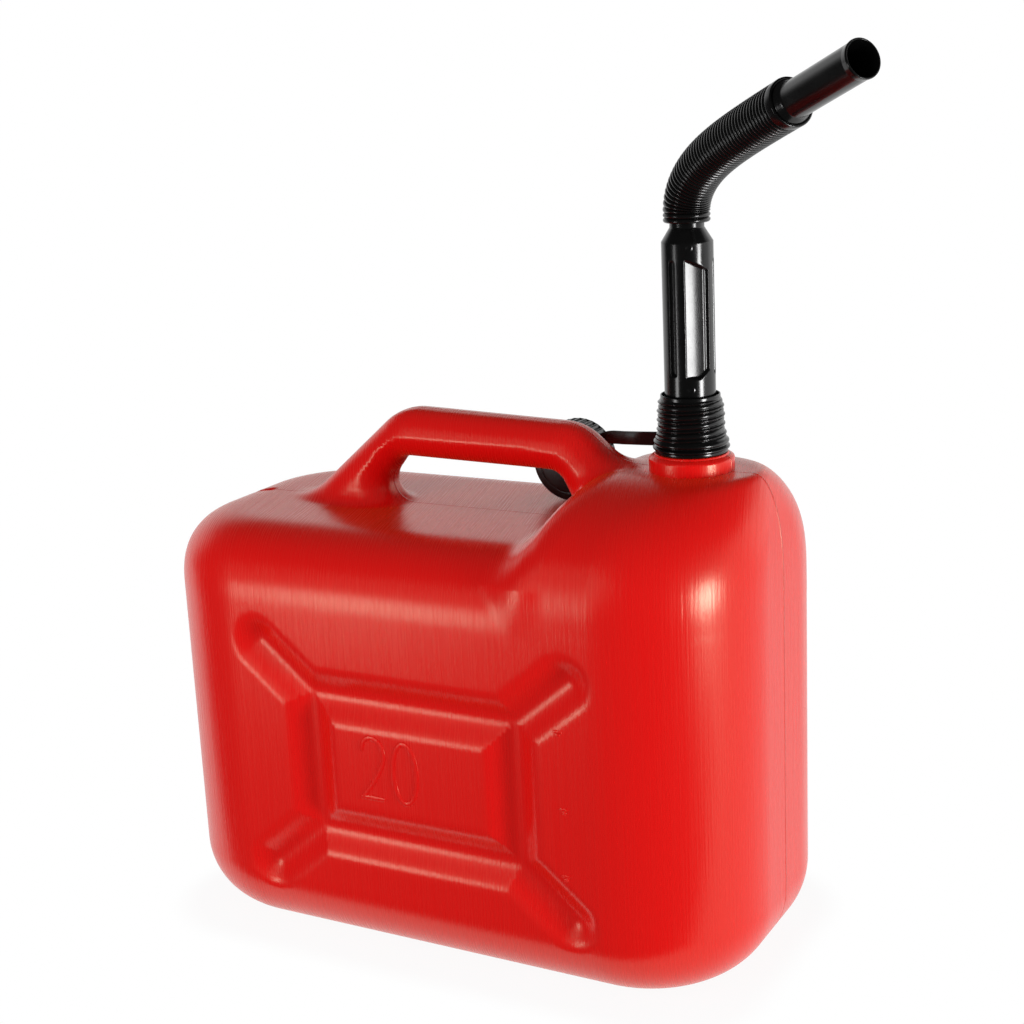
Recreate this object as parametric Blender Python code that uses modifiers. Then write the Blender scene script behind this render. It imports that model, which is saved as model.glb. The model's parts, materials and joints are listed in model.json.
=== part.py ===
"""A 20 litre plastic jerrycan with a moulded handle, a screw-on pouring spout and a tethered cap.

Lengths are in metres. The origin is the centre of the base, +X points to the neck, +Y away from
the side that shows in front, and +Z is up.
"""

import math

import bmesh
import bpy
from mathutils import Matrix, Vector

# Tank
TANK_LENGTH = 0.406
TANK_WIDTH = 0.212
TOP_HEIGHT = 0.274
PLAN_CORNER = 0.080
BASE_ROUND = 0.046
TOP_ROUND = 0.040
WALL = 0.003
BASE_TRIM = 0.0008

# Raised shoulder under the neck, measured from the tank's top and its neck end
SHOULDER_RISE = 0.0370
SHOULDER_SPRING_DROP = 0.018
SHOULDER_LENGTH = 0.149
SHOULDER_LEAN = 0.036
SHOULDER_CREST_SETBACK = 0.020
SHOULDER_SIDE_INSET = 0.085
SHOULDER_END_INSET = 0.018
SHOULDER_FRONT_CORNER = 0.024

# Carrying handle, measured from the tank's top, its rear end and the neck
HANDLE_WIDTH = 0.037
HANDLE_RISE = 0.0642
HANDLE_TOP_FALL = 0.004
HANDLE_DEPTH = 0.0318
HANDLE_REAR_SETBACK = 0.053
HANDLE_REAR_RUN = 0.0961
HANDLE_NECK_KNEE_RUN = 0.0727
HANDLE_NECK_FOOT_RUN = 0.0237
HANDLE_KNEE_ROUND = 0.035
HANDLE_EDGE_ROUND = 0.012
HANDLE_ROOT = 0.018
GRIP_REAR_FOOT_RUN = 0.094
GRIP_REAR_WAIST_RUN = 0.083
GRIP_WAIST_RISE = 0.016
GRIP_NECK_KNEE_RUN = 0.0857
GRIP_NECK_FOOT_RUN = 0.0597
GRIP_CORNER = 0.012

# Pressed frame and arms on the two broad faces
PRESS_DEPTH = 0.0075
PRESS_WIDTH = 0.026
FRAME_HALF_LENGTH = 0.0715
FRAME_HALF_HEIGHT = 0.045
PRESS_DROP = 0.0075
ARM_REACH = 0.036
ARM_RISE = 0.030
PRESS_CORNER = 0.004

# Surface of the moulded shell
SKIN_VOXEL = 0.0035
PRESS_VOXEL = 0.0023
SKIN_SMOOTHING = 4
OUTER_SKIN_SHARE = 0.048
INNER_SKIN_SHARE = 0.018

# Neck, measured from the tank's neck end and the shoulder
NECK_SETBACK = 0.0573
NECK_RISE = 0.0270
NECK_ROOT_RADIUS = 0.0160
NECK_BORE_RADIUS = 0.0130
COLLAR_RADIUS = 0.0257
COLLAR_RISE = 0.0105
COLLAR_LEDGE = 0.0035
COLLAR_CHAMFER = 0.0015
NECK_DEPTH = 0.012
THREAD_PITCH = 0.0054
THREAD_BEAD = 0.0012
THREAD_TURNS = 2.0
THREAD_STANDOFF = 0.0040
THREAD_RUNOUT_SHARE = 0.35
RUNNING_GAP = 0.0004
SEAT_GAP = 0.0003

# Screw collar of the spout
SCREW_COLLAR_WALL = 0.0013
SCREW_COLLAR_LIP_RADIUS = 0.0219
SCREW_COLLAR_FLARE_RADIUS = 0.0224
SCREW_COLLAR_FLARE_HEIGHT = 0.0062
SCREW_COLLAR_LIP_HEIGHT = 0.0030
SCREW_COLLAR_RIM_RADIUS = 0.0176
SCREW_COLLAR_RIM_LIFT = 0.0045
SCREW_COLLAR_NECKING = 0.0125
SCREW_COLLAR_CUP_DEPTH = 0.0030
SCREW_COLLAR_CUP_GAP = 0.0012
RIDGE_BEAD = 0.0013
RIDGE_TURNS = 3.25

# Tether ring, strap and eyelet
TETHER_RING_RADIUS = 0.0217
TETHER_RING_THICKNESS = 0.0022
TETHER_HEADING = math.radians(162.0)
STRAP_WIDTH = 0.0085
STRAP_THICKNESS = 0.0018
STRAP_SETBACK = 0.0010
STRAP_LANDING = math.radians(37.0)
STRAP_ROUTE_SHARES = (
    (0.00, 0.00, 0.00),
    (0.26, 0.23, 0.18),
    (0.55, 0.62, 0.44),
    (0.82, 0.93, 0.66),
    (1.00, 1.00, 1.00),
)
CAP_RING_RADIUS = 0.0252
CAP_RING_WIDTH = 0.0056

# Cap on the tether, standing on the tank's top beside the handle, behind the shoulder's foot
CAP_SETBACK = 0.008
CAP_HANDLE_GAP = 0.017
CAP_RADIUS = 0.0255
CAP_DEPTH = 0.0165
CAP_WALL = 0.0022
CAP_TEETH = 36
CAP_TOOTH_DEPTH = 0.0009
CAP_FACE_THICKNESS = 0.0024
CAP_FACE_MARGIN = 0.0018
BOSS_LIP = 0.0011
BOSS_LIP_THICKNESS = 0.0014
LINER_THICKNESS = 0.0016

# Gasket, grip tube and its stub
GASKET_THICKNESS = 0.0018
GRIP_RADIUS = 0.01515
GRIP_BORE_RADIUS = 0.0110
GRIP_FLANGE_RADIUS = 0.0172
GRIP_FLANGE_THICKNESS = 0.0026
GRIP_LENGTH = 0.103
GRIP_CONE_LENGTH = 0.0075
STUB_RADIUS = 0.0101
STUB_BORE_RADIUS = 0.0085
STUB_REACH = 0.0050
POCKET_FOOT_MARGIN = 0.0235
POCKET_TOP_MARGIN = 0.014
POCKET_DEPTH = 0.0022
POCKET_SPAN = math.radians(57.0)
POCKET_END_SLOPE = 0.0060
SLOT_SPAN = math.radians(15.0)
SLOT_OFFSET = math.radians(58.5)
SLOT_DEPTH = 0.0018

# Ribbed hose and nozzle
SPOUT_HEADING = math.radians(-33.0)
HOSE_STANDOFF = 0.0035
HOSE_LENGTH = 0.1290
HOSE_STRAIGHT = 0.006
HOSE_EASING = 0.0218
NOZZLE_RISE = math.radians(20.0)
HOSE_RADIUS = 0.01375
HOSE_ROOT_RADIUS = 0.0127
HOSE_BORE_RADIUS = 0.0114
HOSE_RIBS = 42
HOSE_CUFF = 0.0090
HOSE_CUFF_BORE_RADIUS = 0.0125
NOZZLE_RADIUS = 0.01025
NOZZLE_BORE_RADIUS = 0.0090
NOZZLE_REACH = 0.0612
NOZZLE_BEAD_RADIUS = 0.0117
NOZZLE_BEAD_LENGTH = 0.0050
NOZZLE_BEAD_TAPER_SHARE = 0.4
NOZZLE_LIP = 0.0004

# Places that follow from the sizes above
NECK_X = 0.5 * TANK_LENGTH - NECK_SETBACK
SHOULDER_HEIGHT = TOP_HEIGHT + SHOULDER_RISE
SHOULDER_SPRING = TOP_HEIGHT - SHOULDER_SPRING_DROP
SHOULDER_FOOT = 0.5 * TANK_LENGTH - SHOULDER_LENGTH
NECK_TOP = SHOULDER_HEIGHT + NECK_RISE
COLLAR_TOP = SHOULDER_HEIGHT + COLLAR_RISE
THREAD_START = COLLAR_TOP + THREAD_STANDOFF
FLANGE_FOOT = NECK_TOP + 2 * SEAT_GAP + GASKET_THICKNESS
FLANGE_TOP = FLANGE_FOOT + GRIP_FLANGE_THICKNESS
SCREW_COLLAR_TOP = FLANGE_TOP + SCREW_COLLAR_NECKING
GRIP_SHOULDER = FLANGE_TOP + GRIP_LENGTH
GRIP_CONE_TOP = GRIP_SHOULDER + GRIP_CONE_LENGTH
HOSE_FOOT = GRIP_CONE_TOP + HOSE_STANDOFF
CAP_X = SHOULDER_FOOT - CAP_SETBACK
CAP_FACE_Y = 0.5 * HANDLE_WIDTH + CAP_HANDLE_GAP
CAP_CENTRE = TOP_HEIGHT + SEAT_GAP + CAP_RADIUS

# Resolution of curves and turned shapes
TURN_STEPS = 36
SMALL_TURN_STEPS = 24
ARC_STEPS = 6
HELIX_STEPS = 16
HOSE_LINE_STEPS = 96
HOSE_BORE_STEPS = 24

# How far a cut runs past the surface it opens
OVERRUN = 0.002

# Stands a flat outline up, its Y becoming Z
STANDING = Matrix.Rotation(math.radians(90.0), 4, "X")

RED_PLASTIC = ("red_hdpe", (0.68, 0.012, 0.010, 1.0), 0.38)
BLACK_PLASTIC = ("black_pe", (0.010, 0.010, 0.011, 1.0), 0.36)
BLACK_RUBBER = ("black_rubber", (0.015, 0.015, 0.015, 1.0), 0.75)


def clear_scene():
    """Start from an empty scene with one collection for the can and one for its cutters."""
    for obj in list(bpy.data.objects):
        bpy.data.objects.remove(obj, do_unlink=True)
    collections = {}
    for name in ("jerrycan", "cutters"):
        collection = bpy.data.collections.new(name)
        bpy.context.scene.collection.children.link(collection)
        collections[name] = collection
    return collections


def make_material(name, colour, roughness):
    """A plain plastic or rubber."""
    material = bpy.data.materials.new(name)
    material.use_nodes = True
    shader = material.node_tree.nodes["Principled BSDF"]
    shader.inputs["Base Color"].default_value = colour
    shader.inputs["Roughness"].default_value = roughness
    shader.inputs["Metallic"].default_value = 0.0
    return material


def add_piece(name, mesh, collection, material, smooth_angle=math.radians(35.0)):
    """Link a mesh as a named piece, shaded smooth with its sharp edges kept."""
    obj = bpy.data.objects.new(name, mesh)
    collection.objects.link(obj)
    mesh.materials.clear()
    mesh.materials.append(material)
    mesh.shade_smooth()
    mesh.set_sharp_from_angle(angle=smooth_angle)
    return obj


def add_cutter(name, mesh, collection):
    """Link a mesh as a helper that shapes the pieces and isn't one itself."""
    obj = bpy.data.objects.new(name, mesh)
    collection.objects.link(obj)
    obj.hide_render = True
    obj.display_type = "WIRE"
    return obj


def evaluated_mesh(obj):
    """The mesh of an object with its modifiers, caps welded, in world space."""
    bpy.context.view_layer.update()
    graph = bpy.context.evaluated_depsgraph_get()
    mesh = bpy.data.meshes.new_from_object(obj.evaluated_get(graph), depsgraph=graph)
    form = bmesh.new()
    form.from_mesh(mesh)
    bmesh.ops.remove_doubles(form, verts=form.verts, dist=SEAT_GAP / 100)
    form.transform(obj.matrix_world)
    form.to_mesh(mesh)
    form.free()
    return mesh


def boolean(obj, operand, operation):
    """Join, cut or intersect a piece with a helper."""
    modifier = obj.modifiers.new(operation.lower(), "BOOLEAN")
    modifier.operation = operation
    modifier.object = operand
    modifier.solver = "EXACT"
    return modifier


def turned_mesh(name, profile, steps=TURN_STEPS):
    """A solid of revolution about Z from a closed profile of (radius, height) points."""
    mesh = bpy.data.meshes.new(name)
    points = [(radius, 0.0, height) for radius, height in profile]
    edges = [(i, (i + 1) % len(points)) for i in range(len(points))]
    mesh.from_pydata(points, edges, [])
    helper = bpy.data.objects.new(name, mesh)
    bpy.context.scene.collection.objects.link(helper)
    screw = helper.modifiers.new("turn", "SCREW")
    screw.angle = math.tau
    screw.steps = steps
    screw.render_steps = steps
    screw.use_merge_vertices = True
    screw.merge_threshold = SEAT_GAP / 10
    solid = evaluated_mesh(helper)
    bpy.data.objects.remove(helper, do_unlink=True)
    make_outward(solid)
    return solid


def make_outward(mesh):
    """Turn every face of a closed mesh outwards."""
    form = bmesh.new()
    form.from_mesh(mesh)
    bmesh.ops.recalc_face_normals(form, faces=form.faces)
    form.to_mesh(mesh)
    form.free()


def move_mesh(mesh, matrix):
    """Place a mesh and hand it back."""
    mesh.transform(matrix)
    mesh.update()
    return mesh


def disc_mesh(name, radius, bottom, top, steps=TURN_STEPS):
    """A plain cylinder about Z between two heights."""
    form = bmesh.new()
    bmesh.ops.create_cone(
        form, cap_ends=True, segments=steps, radius1=radius, radius2=radius, depth=top - bottom
    )
    bmesh.ops.translate(form, verts=form.verts, vec=(0.0, 0.0, 0.5 * (top + bottom)))
    mesh = bpy.data.meshes.new(name)
    form.to_mesh(mesh)
    form.free()
    return mesh


def box_mesh(name, low, high):
    """A box between two corners."""
    form = bmesh.new()
    bmesh.ops.create_cube(form, size=1.0)
    size = [b - a for a, b in zip(low, high)]
    centre = [0.5 * (a + b) for a, b in zip(low, high)]
    bmesh.ops.scale(form, verts=form.verts, vec=size)
    bmesh.ops.translate(form, verts=form.verts, vec=centre)
    mesh = bpy.data.meshes.new(name)
    form.to_mesh(mesh)
    form.free()
    return mesh


def rounded_path(corners):
    """Points round a closed outline whose corners are (x, y, radius), each turned by an arc."""
    points = []
    count = len(corners)
    for index, (x, y, radius) in enumerate(corners):
        here = Vector((x, y))
        before = Vector(corners[index - 1][:2]) - here
        after = Vector(corners[(index + 1) % count][:2]) - here
        if radius == 0.0:
            points.append(here)
            continue
        half_turn = 0.5 * before.angle(after)
        reach = radius / math.tan(half_turn)
        bisector = (before.normalized() + after.normalized()).normalized()
        centre = here + bisector * (radius / math.sin(half_turn))
        start = here + before.normalized() * reach - centre
        end = here + after.normalized() * reach - centre
        sweep = start.angle_signed(end)
        for step in range(ARC_STEPS + 1):
            turn = Matrix.Rotation(-sweep * step / ARC_STEPS, 2)
            points.append(centre + turn @ start)
    return points


def slab_mesh(name, outlines, half_thickness, edge, edge_steps, inward):
    """A flat outline in X and Y given thickness along Z, with its edges rounded or chamfered."""
    curve = bpy.data.curves.new(name, "CURVE")
    curve.dimensions = "2D"
    curve.fill_mode = "BOTH"
    curve.extrude = half_thickness - edge
    curve.bevel_depth = edge
    curve.bevel_resolution = edge_steps
    curve.offset = -edge if inward else 0.0
    for outline in outlines:
        spline = curve.splines.new("POLY")
        spline.points.add(len(outline) - 1)
        for point, place in zip(spline.points, outline):
            point.co = (place[0], place[1], 0.0, 1.0)
        spline.use_cyclic_u = True
    helper = bpy.data.objects.new(name, curve)
    bpy.context.scene.collection.objects.link(helper)
    mesh = evaluated_mesh(helper)
    bpy.data.objects.remove(helper, do_unlink=True)
    make_outward(mesh)
    return mesh


def tube_mesh(name, points, radii, bevel_resolution=2):
    """A tube along points with a radius at each, its ends capped."""
    curve = bpy.data.curves.new(name, "CURVE")
    curve.dimensions = "3D"
    curve.bevel_depth = 1.0
    curve.bevel_resolution = bevel_resolution
    curve.use_fill_caps = True
    curve.twist_mode = "MINIMUM"
    spline = curve.splines.new("POLY")
    spline.points.add(len(points) - 1)
    for point, place, radius in zip(spline.points, points, radii):
        point.co = (*place, 1.0)
        point.radius = radius
    helper = bpy.data.objects.new(name, curve)
    bpy.context.scene.collection.objects.link(helper)
    mesh = evaluated_mesh(helper)
    bpy.data.objects.remove(helper, do_unlink=True)
    make_outward(mesh)
    return mesh


def helix_mesh(name, radius, bottom, turns, bead):
    """A right-hand thread bead round Z whose two ends run out into the wall."""
    count = int(HELIX_STEPS * turns) + 1
    points = []
    radii = []
    for step in range(count):
        along = step / (count - 1)
        angle = math.tau * turns * along
        height = bottom + THREAD_PITCH * turns * along
        points.append((radius * math.cos(angle), radius * math.sin(angle), height))
        end = min(1.0, min(along, 1.0 - along) * turns / THREAD_RUNOUT_SHARE)
        radii.append(bead * (THREAD_RUNOUT_SHARE + (1.0 - THREAD_RUNOUT_SHARE) * end))
    return tube_mesh(name, points, radii, bevel_resolution=1)


def joined_mesh(name, meshes):
    """Several closed meshes put in one, still as separate shells."""
    form = bmesh.new()
    for mesh in meshes:
        form.from_mesh(mesh)
    result = bpy.data.meshes.new(name)
    form.to_mesh(result)
    form.free()
    return result


def plan_ring(x_low, x_high, half_width, low_corner, high_corner):
    """A rounded rectangle in plan whose rear and neck corners have their own radii."""
    ring = []
    quadrants = (
        (x_high - high_corner, half_width - high_corner, high_corner, 0.0),
        (x_low + low_corner, half_width - low_corner, low_corner, 0.5 * math.pi),
        (x_low + low_corner, low_corner - half_width, low_corner, math.pi),
        (x_high - high_corner, high_corner - half_width, high_corner, 1.5 * math.pi),
    )
    for x, y, radius, start in quadrants:
        for step in range(ARC_STEPS + 1):
            angle = start + 0.5 * math.pi * step / ARC_STEPS
            ring.append((x + radius * math.cos(angle), y + radius * math.sin(angle)))
    return ring


def lofted_mesh(name, sections):
    """A closed loft through plan rings, each given with its height from the bottom up."""
    form = bmesh.new()
    rings = []
    for height, ring in sections:
        rings.append([form.verts.new((x, y, height)) for x, y in ring])
    for lower, upper in zip(rings, rings[1:]):
        for index in range(len(lower)):
            after = (index + 1) % len(lower)
            form.faces.new((lower[index], lower[after], upper[after], upper[index]))
    form.faces.new(list(reversed(rings[0])))
    form.faces.new(rings[-1])
    mesh = bpy.data.meshes.new(name)
    form.to_mesh(mesh)
    form.free()
    return mesh


def quarter_turns():
    """Angles from 0 to a right angle for the sections of a rounded edge."""
    return [0.5 * math.pi * step / (2 * ARC_STEPS) for step in range(2 * ARC_STEPS + 1)]


def tank_mesh():
    """The low part of the tank: a rounded plan with a rounded base and top."""
    half_length = 0.5 * TANK_LENGTH
    half_width = 0.5 * TANK_WIDTH
    sections = []
    for angle in reversed(quarter_turns()):
        inset = BASE_ROUND * (1.0 - math.cos(angle))
        height = BASE_ROUND * (1.0 - math.sin(angle)) - BASE_TRIM
        sections.append((height, inset))
    for angle in quarter_turns():
        inset = TOP_ROUND * (1.0 - math.cos(angle))
        height = TOP_HEIGHT - TOP_ROUND * (1.0 - math.sin(angle))
        sections.append((height, inset))
    rings = []
    for height, inset in sections:
        length = half_length - inset
        corner = PLAN_CORNER - inset
        rings.append((height, plan_ring(-length, length, half_width - inset, corner, corner)))
    return lofted_mesh("tank_form", rings)


def shoulder_mesh():
    """The arched shoulder that carries the neck: an elliptical arch that leans back on the handle side."""
    half_length = 0.5 * TANK_LENGTH
    half_width = 0.5 * TANK_WIDTH
    rise = SHOULDER_HEIGHT - SHOULDER_SPRING
    rings = []
    for angle in quarter_turns():
        closing = 1.0 - math.cos(angle)
        width = half_width - SHOULDER_SIDE_INSET * closing
        x_high = half_length - SHOULDER_END_INSET * closing
        x_low = SHOULDER_FOOT + SHOULDER_LEAN * math.sin(angle) + SHOULDER_CREST_SETBACK * closing**2
        low_corner = min(SHOULDER_FRONT_CORNER, width)
        high_corner = min(PLAN_CORNER, width)
        ring = plan_ring(x_low, x_high, width, low_corner, high_corner)
        if not rings:
            rings.append((SHOULDER_SPRING - TOP_ROUND, ring))
        rings.append((SHOULDER_SPRING + rise * math.sin(angle), ring))
    return lofted_mesh("shoulder_form", rings)


def handle_mesh():
    """The carrying handle: a slanted leg at the rear, a level grip, and a leg into the shoulder."""
    top = TOP_HEIGHT + HANDLE_RISE
    grip_top = top - HANDLE_DEPTH
    root = TOP_HEIGHT - HANDLE_ROOT
    rear = HANDLE_REAR_SETBACK - 0.5 * TANK_LENGTH
    rear_knee = rear + HANDLE_REAR_RUN
    neck_foot = NECK_X - HANDLE_NECK_FOOT_RUN
    corners = (
        (rear, root, 0.0),
        (rear_knee, top, HANDLE_KNEE_ROUND),
        (NECK_X - HANDLE_NECK_KNEE_RUN, top - HANDLE_TOP_FALL, HANDLE_KNEE_ROUND),
        (neck_foot, SHOULDER_HEIGHT - HANDLE_ROOT, 0.0),
        (neck_foot, root, 0.0),
        (NECK_X - GRIP_NECK_FOOT_RUN, root, 0.0),
        (NECK_X - GRIP_NECK_KNEE_RUN, grip_top - 0.5 * HANDLE_TOP_FALL, GRIP_CORNER),
        (rear_knee, grip_top, GRIP_CORNER),
        (rear + GRIP_REAR_WAIST_RUN, TOP_HEIGHT + GRIP_WAIST_RISE, GRIP_CORNER),
        (rear + GRIP_REAR_FOOT_RUN, root, 0.0),
    )
    slab = slab_mesh("handle_form", [rounded_path(corners)], 0.5 * HANDLE_WIDTH, HANDLE_EDGE_ROUND, 2, True)
    return move_mesh(slab, STANDING)


def press_outlines():
    """Floor outlines of the pressed frame and its four arms, round the pattern's centre."""
    half_floor = 0.5 * PRESS_WIDTH - PRESS_DEPTH
    frames = []
    for side, corner in ((half_floor, PRESS_CORNER), (-half_floor, PRESS_CORNER + PRESS_DEPTH)):
        x = FRAME_HALF_LENGTH + side
        z = FRAME_HALF_HEIGHT + side
        frames.append(rounded_path(((-x, -z, corner), (x, -z, corner), (x, z, corner), (-x, z, corner))))
    shapes = [frames]
    slope = math.atan2(ARM_RISE, ARM_REACH)
    for x_side in (-1, 1):
        for z_side in (-1, 1):
            arm = []
            for step in range(2 * ARC_STEPS + 1):
                angle = slope - 0.5 * math.pi + math.pi * step / (2 * ARC_STEPS)
                x = FRAME_HALF_LENGTH + ARM_REACH + half_floor * math.cos(angle)
                z = FRAME_HALF_HEIGHT + ARM_RISE + half_floor * math.sin(angle)
                arm.append((x_side * x, z_side * z))
            for side in (0.5 * math.pi, -0.5 * math.pi):
                x = FRAME_HALF_LENGTH + half_floor * math.cos(slope + side)
                z = FRAME_HALF_HEIGHT + half_floor * math.sin(slope + side)
                arm.append((x_side * x, z_side * z))
            shapes.append([arm])
    return shapes


def melted(obj, voxel):
    """Overlapping closed shapes become one skin."""
    modifier = obj.modifiers.new("melt", "REMESH")
    modifier.mode = "VOXEL"
    modifier.voxel_size = voxel


def press_cutters(collection):
    """The dies that press the frame and its arms into both broad faces, each melted to one shape."""
    cutters = []
    for face in (-1, 1):
        meshes = []
        for outlines in press_outlines():
            meshes.append(slab_mesh("press", outlines, PRESS_DEPTH + OVERRUN, PRESS_DEPTH, 0, False))
        height = 0.5 * TOP_HEIGHT - PRESS_DROP
        place = Matrix.Translation((0.0, face * 0.5 * TANK_WIDTH, height)) @ STANDING
        die = add_cutter(f"press_{face}", move_mesh(joined_mesh("press", meshes), place), collection)
        melted(die, PRESS_VOXEL)
        cutters.append(die)
    return cutters


def shell_form(collection):
    """The moulded outside before it is thinned: tank, shoulder and handle melted together and pressed."""
    parts = [tank_mesh(), shoulder_mesh(), handle_mesh()]
    form = add_cutter("can_form", joined_mesh("can_form", parts), collection)
    melted(form, SKIN_VOXEL)
    for cutter in press_cutters(collection):
        boolean(form, cutter, "DIFFERENCE")
    melted(form, SKIN_VOXEL)
    smooth = form.modifiers.new("smooth", "SMOOTH")
    smooth.factor = 0.5
    smooth.iterations = SKIN_SMOOTHING
    return evaluated_mesh(form)


def thinned(obj, share):
    """Fewer faces on a smooth skin."""
    modifier = obj.modifiers.new("thin", "DECIMATE")
    modifier.decimate_type = "COLLAPSE"
    modifier.ratio = share
    modifier.use_collapse_triangulate = True


def cavity_cutter(skin, collection):
    """The inside of the tank and handle: the outer skin moved in by the wall."""
    cavity = add_cutter("cavity", skin.copy(), collection)
    inward = cavity.modifiers.new("wall", "DISPLACE")
    inward.direction = "NORMAL"
    inward.mid_level = 0.0
    inward.strength = -WALL
    thinned(cavity, INNER_SKIN_SHARE)
    return cavity


def neck_mesh():
    """The solid neck with its collar, before the bore is cut."""
    bottom = SHOULDER_HEIGHT - NECK_DEPTH
    inner = 0.5 * NECK_BORE_RADIUS
    ledge = COLLAR_RADIUS - COLLAR_LEDGE
    profile = [
        (inner, NECK_TOP),
        (NECK_ROOT_RADIUS - COLLAR_CHAMFER, NECK_TOP),
        (NECK_ROOT_RADIUS, NECK_TOP - COLLAR_CHAMFER),
        (NECK_ROOT_RADIUS, COLLAR_TOP),
        (ledge, COLLAR_TOP),
        (ledge, COLLAR_TOP - COLLAR_CHAMFER),
        (COLLAR_RADIUS - COLLAR_CHAMFER, COLLAR_TOP - COLLAR_CHAMFER),
        (COLLAR_RADIUS, COLLAR_TOP - 2 * COLLAR_CHAMFER),
        (COLLAR_RADIUS, bottom),
        (inner, bottom),
    ]
    return turned_mesh("neck_form", profile)


def build_can(collections, material):
    """The blow-moulded can: tank, shoulder, handle and threaded neck in one hollow piece."""
    cutters = collections["cutters"]
    skin = shell_form(cutters)
    can = add_piece("can_body", skin.copy(), collections["jerrycan"], material)
    thinned(can, OUTER_SKIN_SHARE)
    half = TANK_LENGTH
    floor = box_mesh("floor_cut", (-half, -half, -half), (half, half, 0.0))
    boolean(can, add_cutter("floor_cut", floor, cutters), "DIFFERENCE")
    at_neck = Matrix.Translation((NECK_X, 0.0, 0.0))
    neck = add_cutter("neck_form", move_mesh(neck_mesh(), at_neck), cutters)
    boolean(can, neck, "UNION")
    thread = helix_mesh("neck_thread", NECK_ROOT_RADIUS, THREAD_START, THREAD_TURNS, THREAD_BEAD)
    boolean(can, add_cutter("neck_thread", move_mesh(thread, at_neck), cutters), "UNION")
    boolean(can, cavity_cutter(skin, cutters), "DIFFERENCE")
    bore = disc_mesh("neck_bore", NECK_BORE_RADIUS, SHOULDER_HEIGHT - 2 * NECK_DEPTH, NECK_TOP + OVERRUN)
    boolean(can, add_cutter("neck_bore", move_mesh(bore, at_neck), cutters), "DIFFERENCE")
    return can


def build_gasket(collections, material):
    """The flat washer between the neck and the spout's flange."""
    bottom = NECK_TOP + SEAT_GAP
    top = bottom + GASKET_THICKNESS
    profile = [
        (GRIP_BORE_RADIUS, top),
        (NECK_ROOT_RADIUS, top),
        (NECK_ROOT_RADIUS, bottom),
        (GRIP_BORE_RADIUS, bottom),
    ]
    mesh = turned_mesh("spout_gasket", profile, SMALL_TURN_STEPS)
    place = Matrix.Translation((NECK_X, 0.0, 0.0))
    return add_piece("spout_gasket", move_mesh(mesh, place), collections["jerrycan"], material)


def screw_collar_bore():
    """Radius of the screw collar's bore, clear of the neck's thread."""
    return NECK_ROOT_RADIUS + THREAD_BEAD + 1.5 * RUNNING_GAP


def build_screw_collar(collections, material):
    """The thin screw collar: a flared skirt whose inner thread shows as ridges outside."""
    cutters = collections["cutters"]
    bore = screw_collar_bore()
    root = bore + SCREW_COLLAR_WALL
    lip = COLLAR_TOP + 2 * SEAT_GAP + TETHER_RING_THICKNESS
    flare = lip + SCREW_COLLAR_LIP_HEIGHT
    seat = FLANGE_TOP + SEAT_GAP
    hole = GRIP_RADIUS + RUNNING_GAP
    cup = hole + SCREW_COLLAR_CUP_GAP
    cup_floor = SCREW_COLLAR_TOP - SCREW_COLLAR_CUP_DEPTH
    rim_foot = SCREW_COLLAR_TOP - SCREW_COLLAR_RIM_LIFT
    profile = [
        (cup, SCREW_COLLAR_TOP),
        (SCREW_COLLAR_RIM_RADIUS, SCREW_COLLAR_TOP),
        (SCREW_COLLAR_RIM_RADIUS, rim_foot),
        (root, seat),
        (root, lip + SCREW_COLLAR_FLARE_HEIGHT),
        (SCREW_COLLAR_FLARE_RADIUS, flare),
        (SCREW_COLLAR_FLARE_RADIUS, lip + 0.5 * SCREW_COLLAR_LIP_HEIGHT),
        (SCREW_COLLAR_LIP_RADIUS, lip),
        (bore, lip),
        (bore, seat),
        (hole, seat),
        (hole, cup_floor),
        (cup, cup_floor),
    ]
    place = Matrix.Translation((NECK_X, 0.0, 0.0))
    mesh = move_mesh(turned_mesh("screw_collar", profile), place)
    collar = add_piece("screw_collar", mesh, collections["jerrycan"], material)
    inner = helix_mesh("collar_thread", bore, THREAD_START + 0.5 * THREAD_PITCH, THREAD_TURNS, THREAD_BEAD)
    outer = helix_mesh("collar_ridges", root, lip + SCREW_COLLAR_FLARE_HEIGHT, RIDGE_TURNS, RIDGE_BEAD)
    for name, mesh in (("collar_thread", inner), ("collar_ridges", outer)):
        boolean(collar, add_cutter(name, move_mesh(mesh, place), cutters), "UNION")
    return collar


def sector_mesh(name, heading, span, inner, outer, bottom, top, end_slope):
    """A ring sector about Z, its lower and upper ends raised or lowered along the arc by a slope."""
    form = bmesh.new()
    steps = 2 * ARC_STEPS
    loops = []
    for step in range(steps + 1):
        share = step / steps
        angle = heading + span * (share - 0.5)
        ends = (bottom + end_slope * (1.0 - share), top - 0.5 * end_slope * (1.0 - share))
        loop = []
        for radius, height in ((inner, ends[0]), (outer, ends[0]), (outer, ends[1]), (inner, ends[1])):
            loop.append(form.verts.new((radius * math.cos(angle), radius * math.sin(angle), height)))
        loops.append(loop)
    for first, second in zip(loops, loops[1:]):
        for index in range(4):
            after = (index + 1) % 4
            form.faces.new((first[index], first[after], second[after], second[index]))
    form.faces.new(loops[0])
    form.faces.new(loops[-1])
    bmesh.ops.recalc_face_normals(form, faces=form.faces)
    mesh = bpy.data.meshes.new(name)
    form.to_mesh(mesh)
    form.free()
    return mesh


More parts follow.
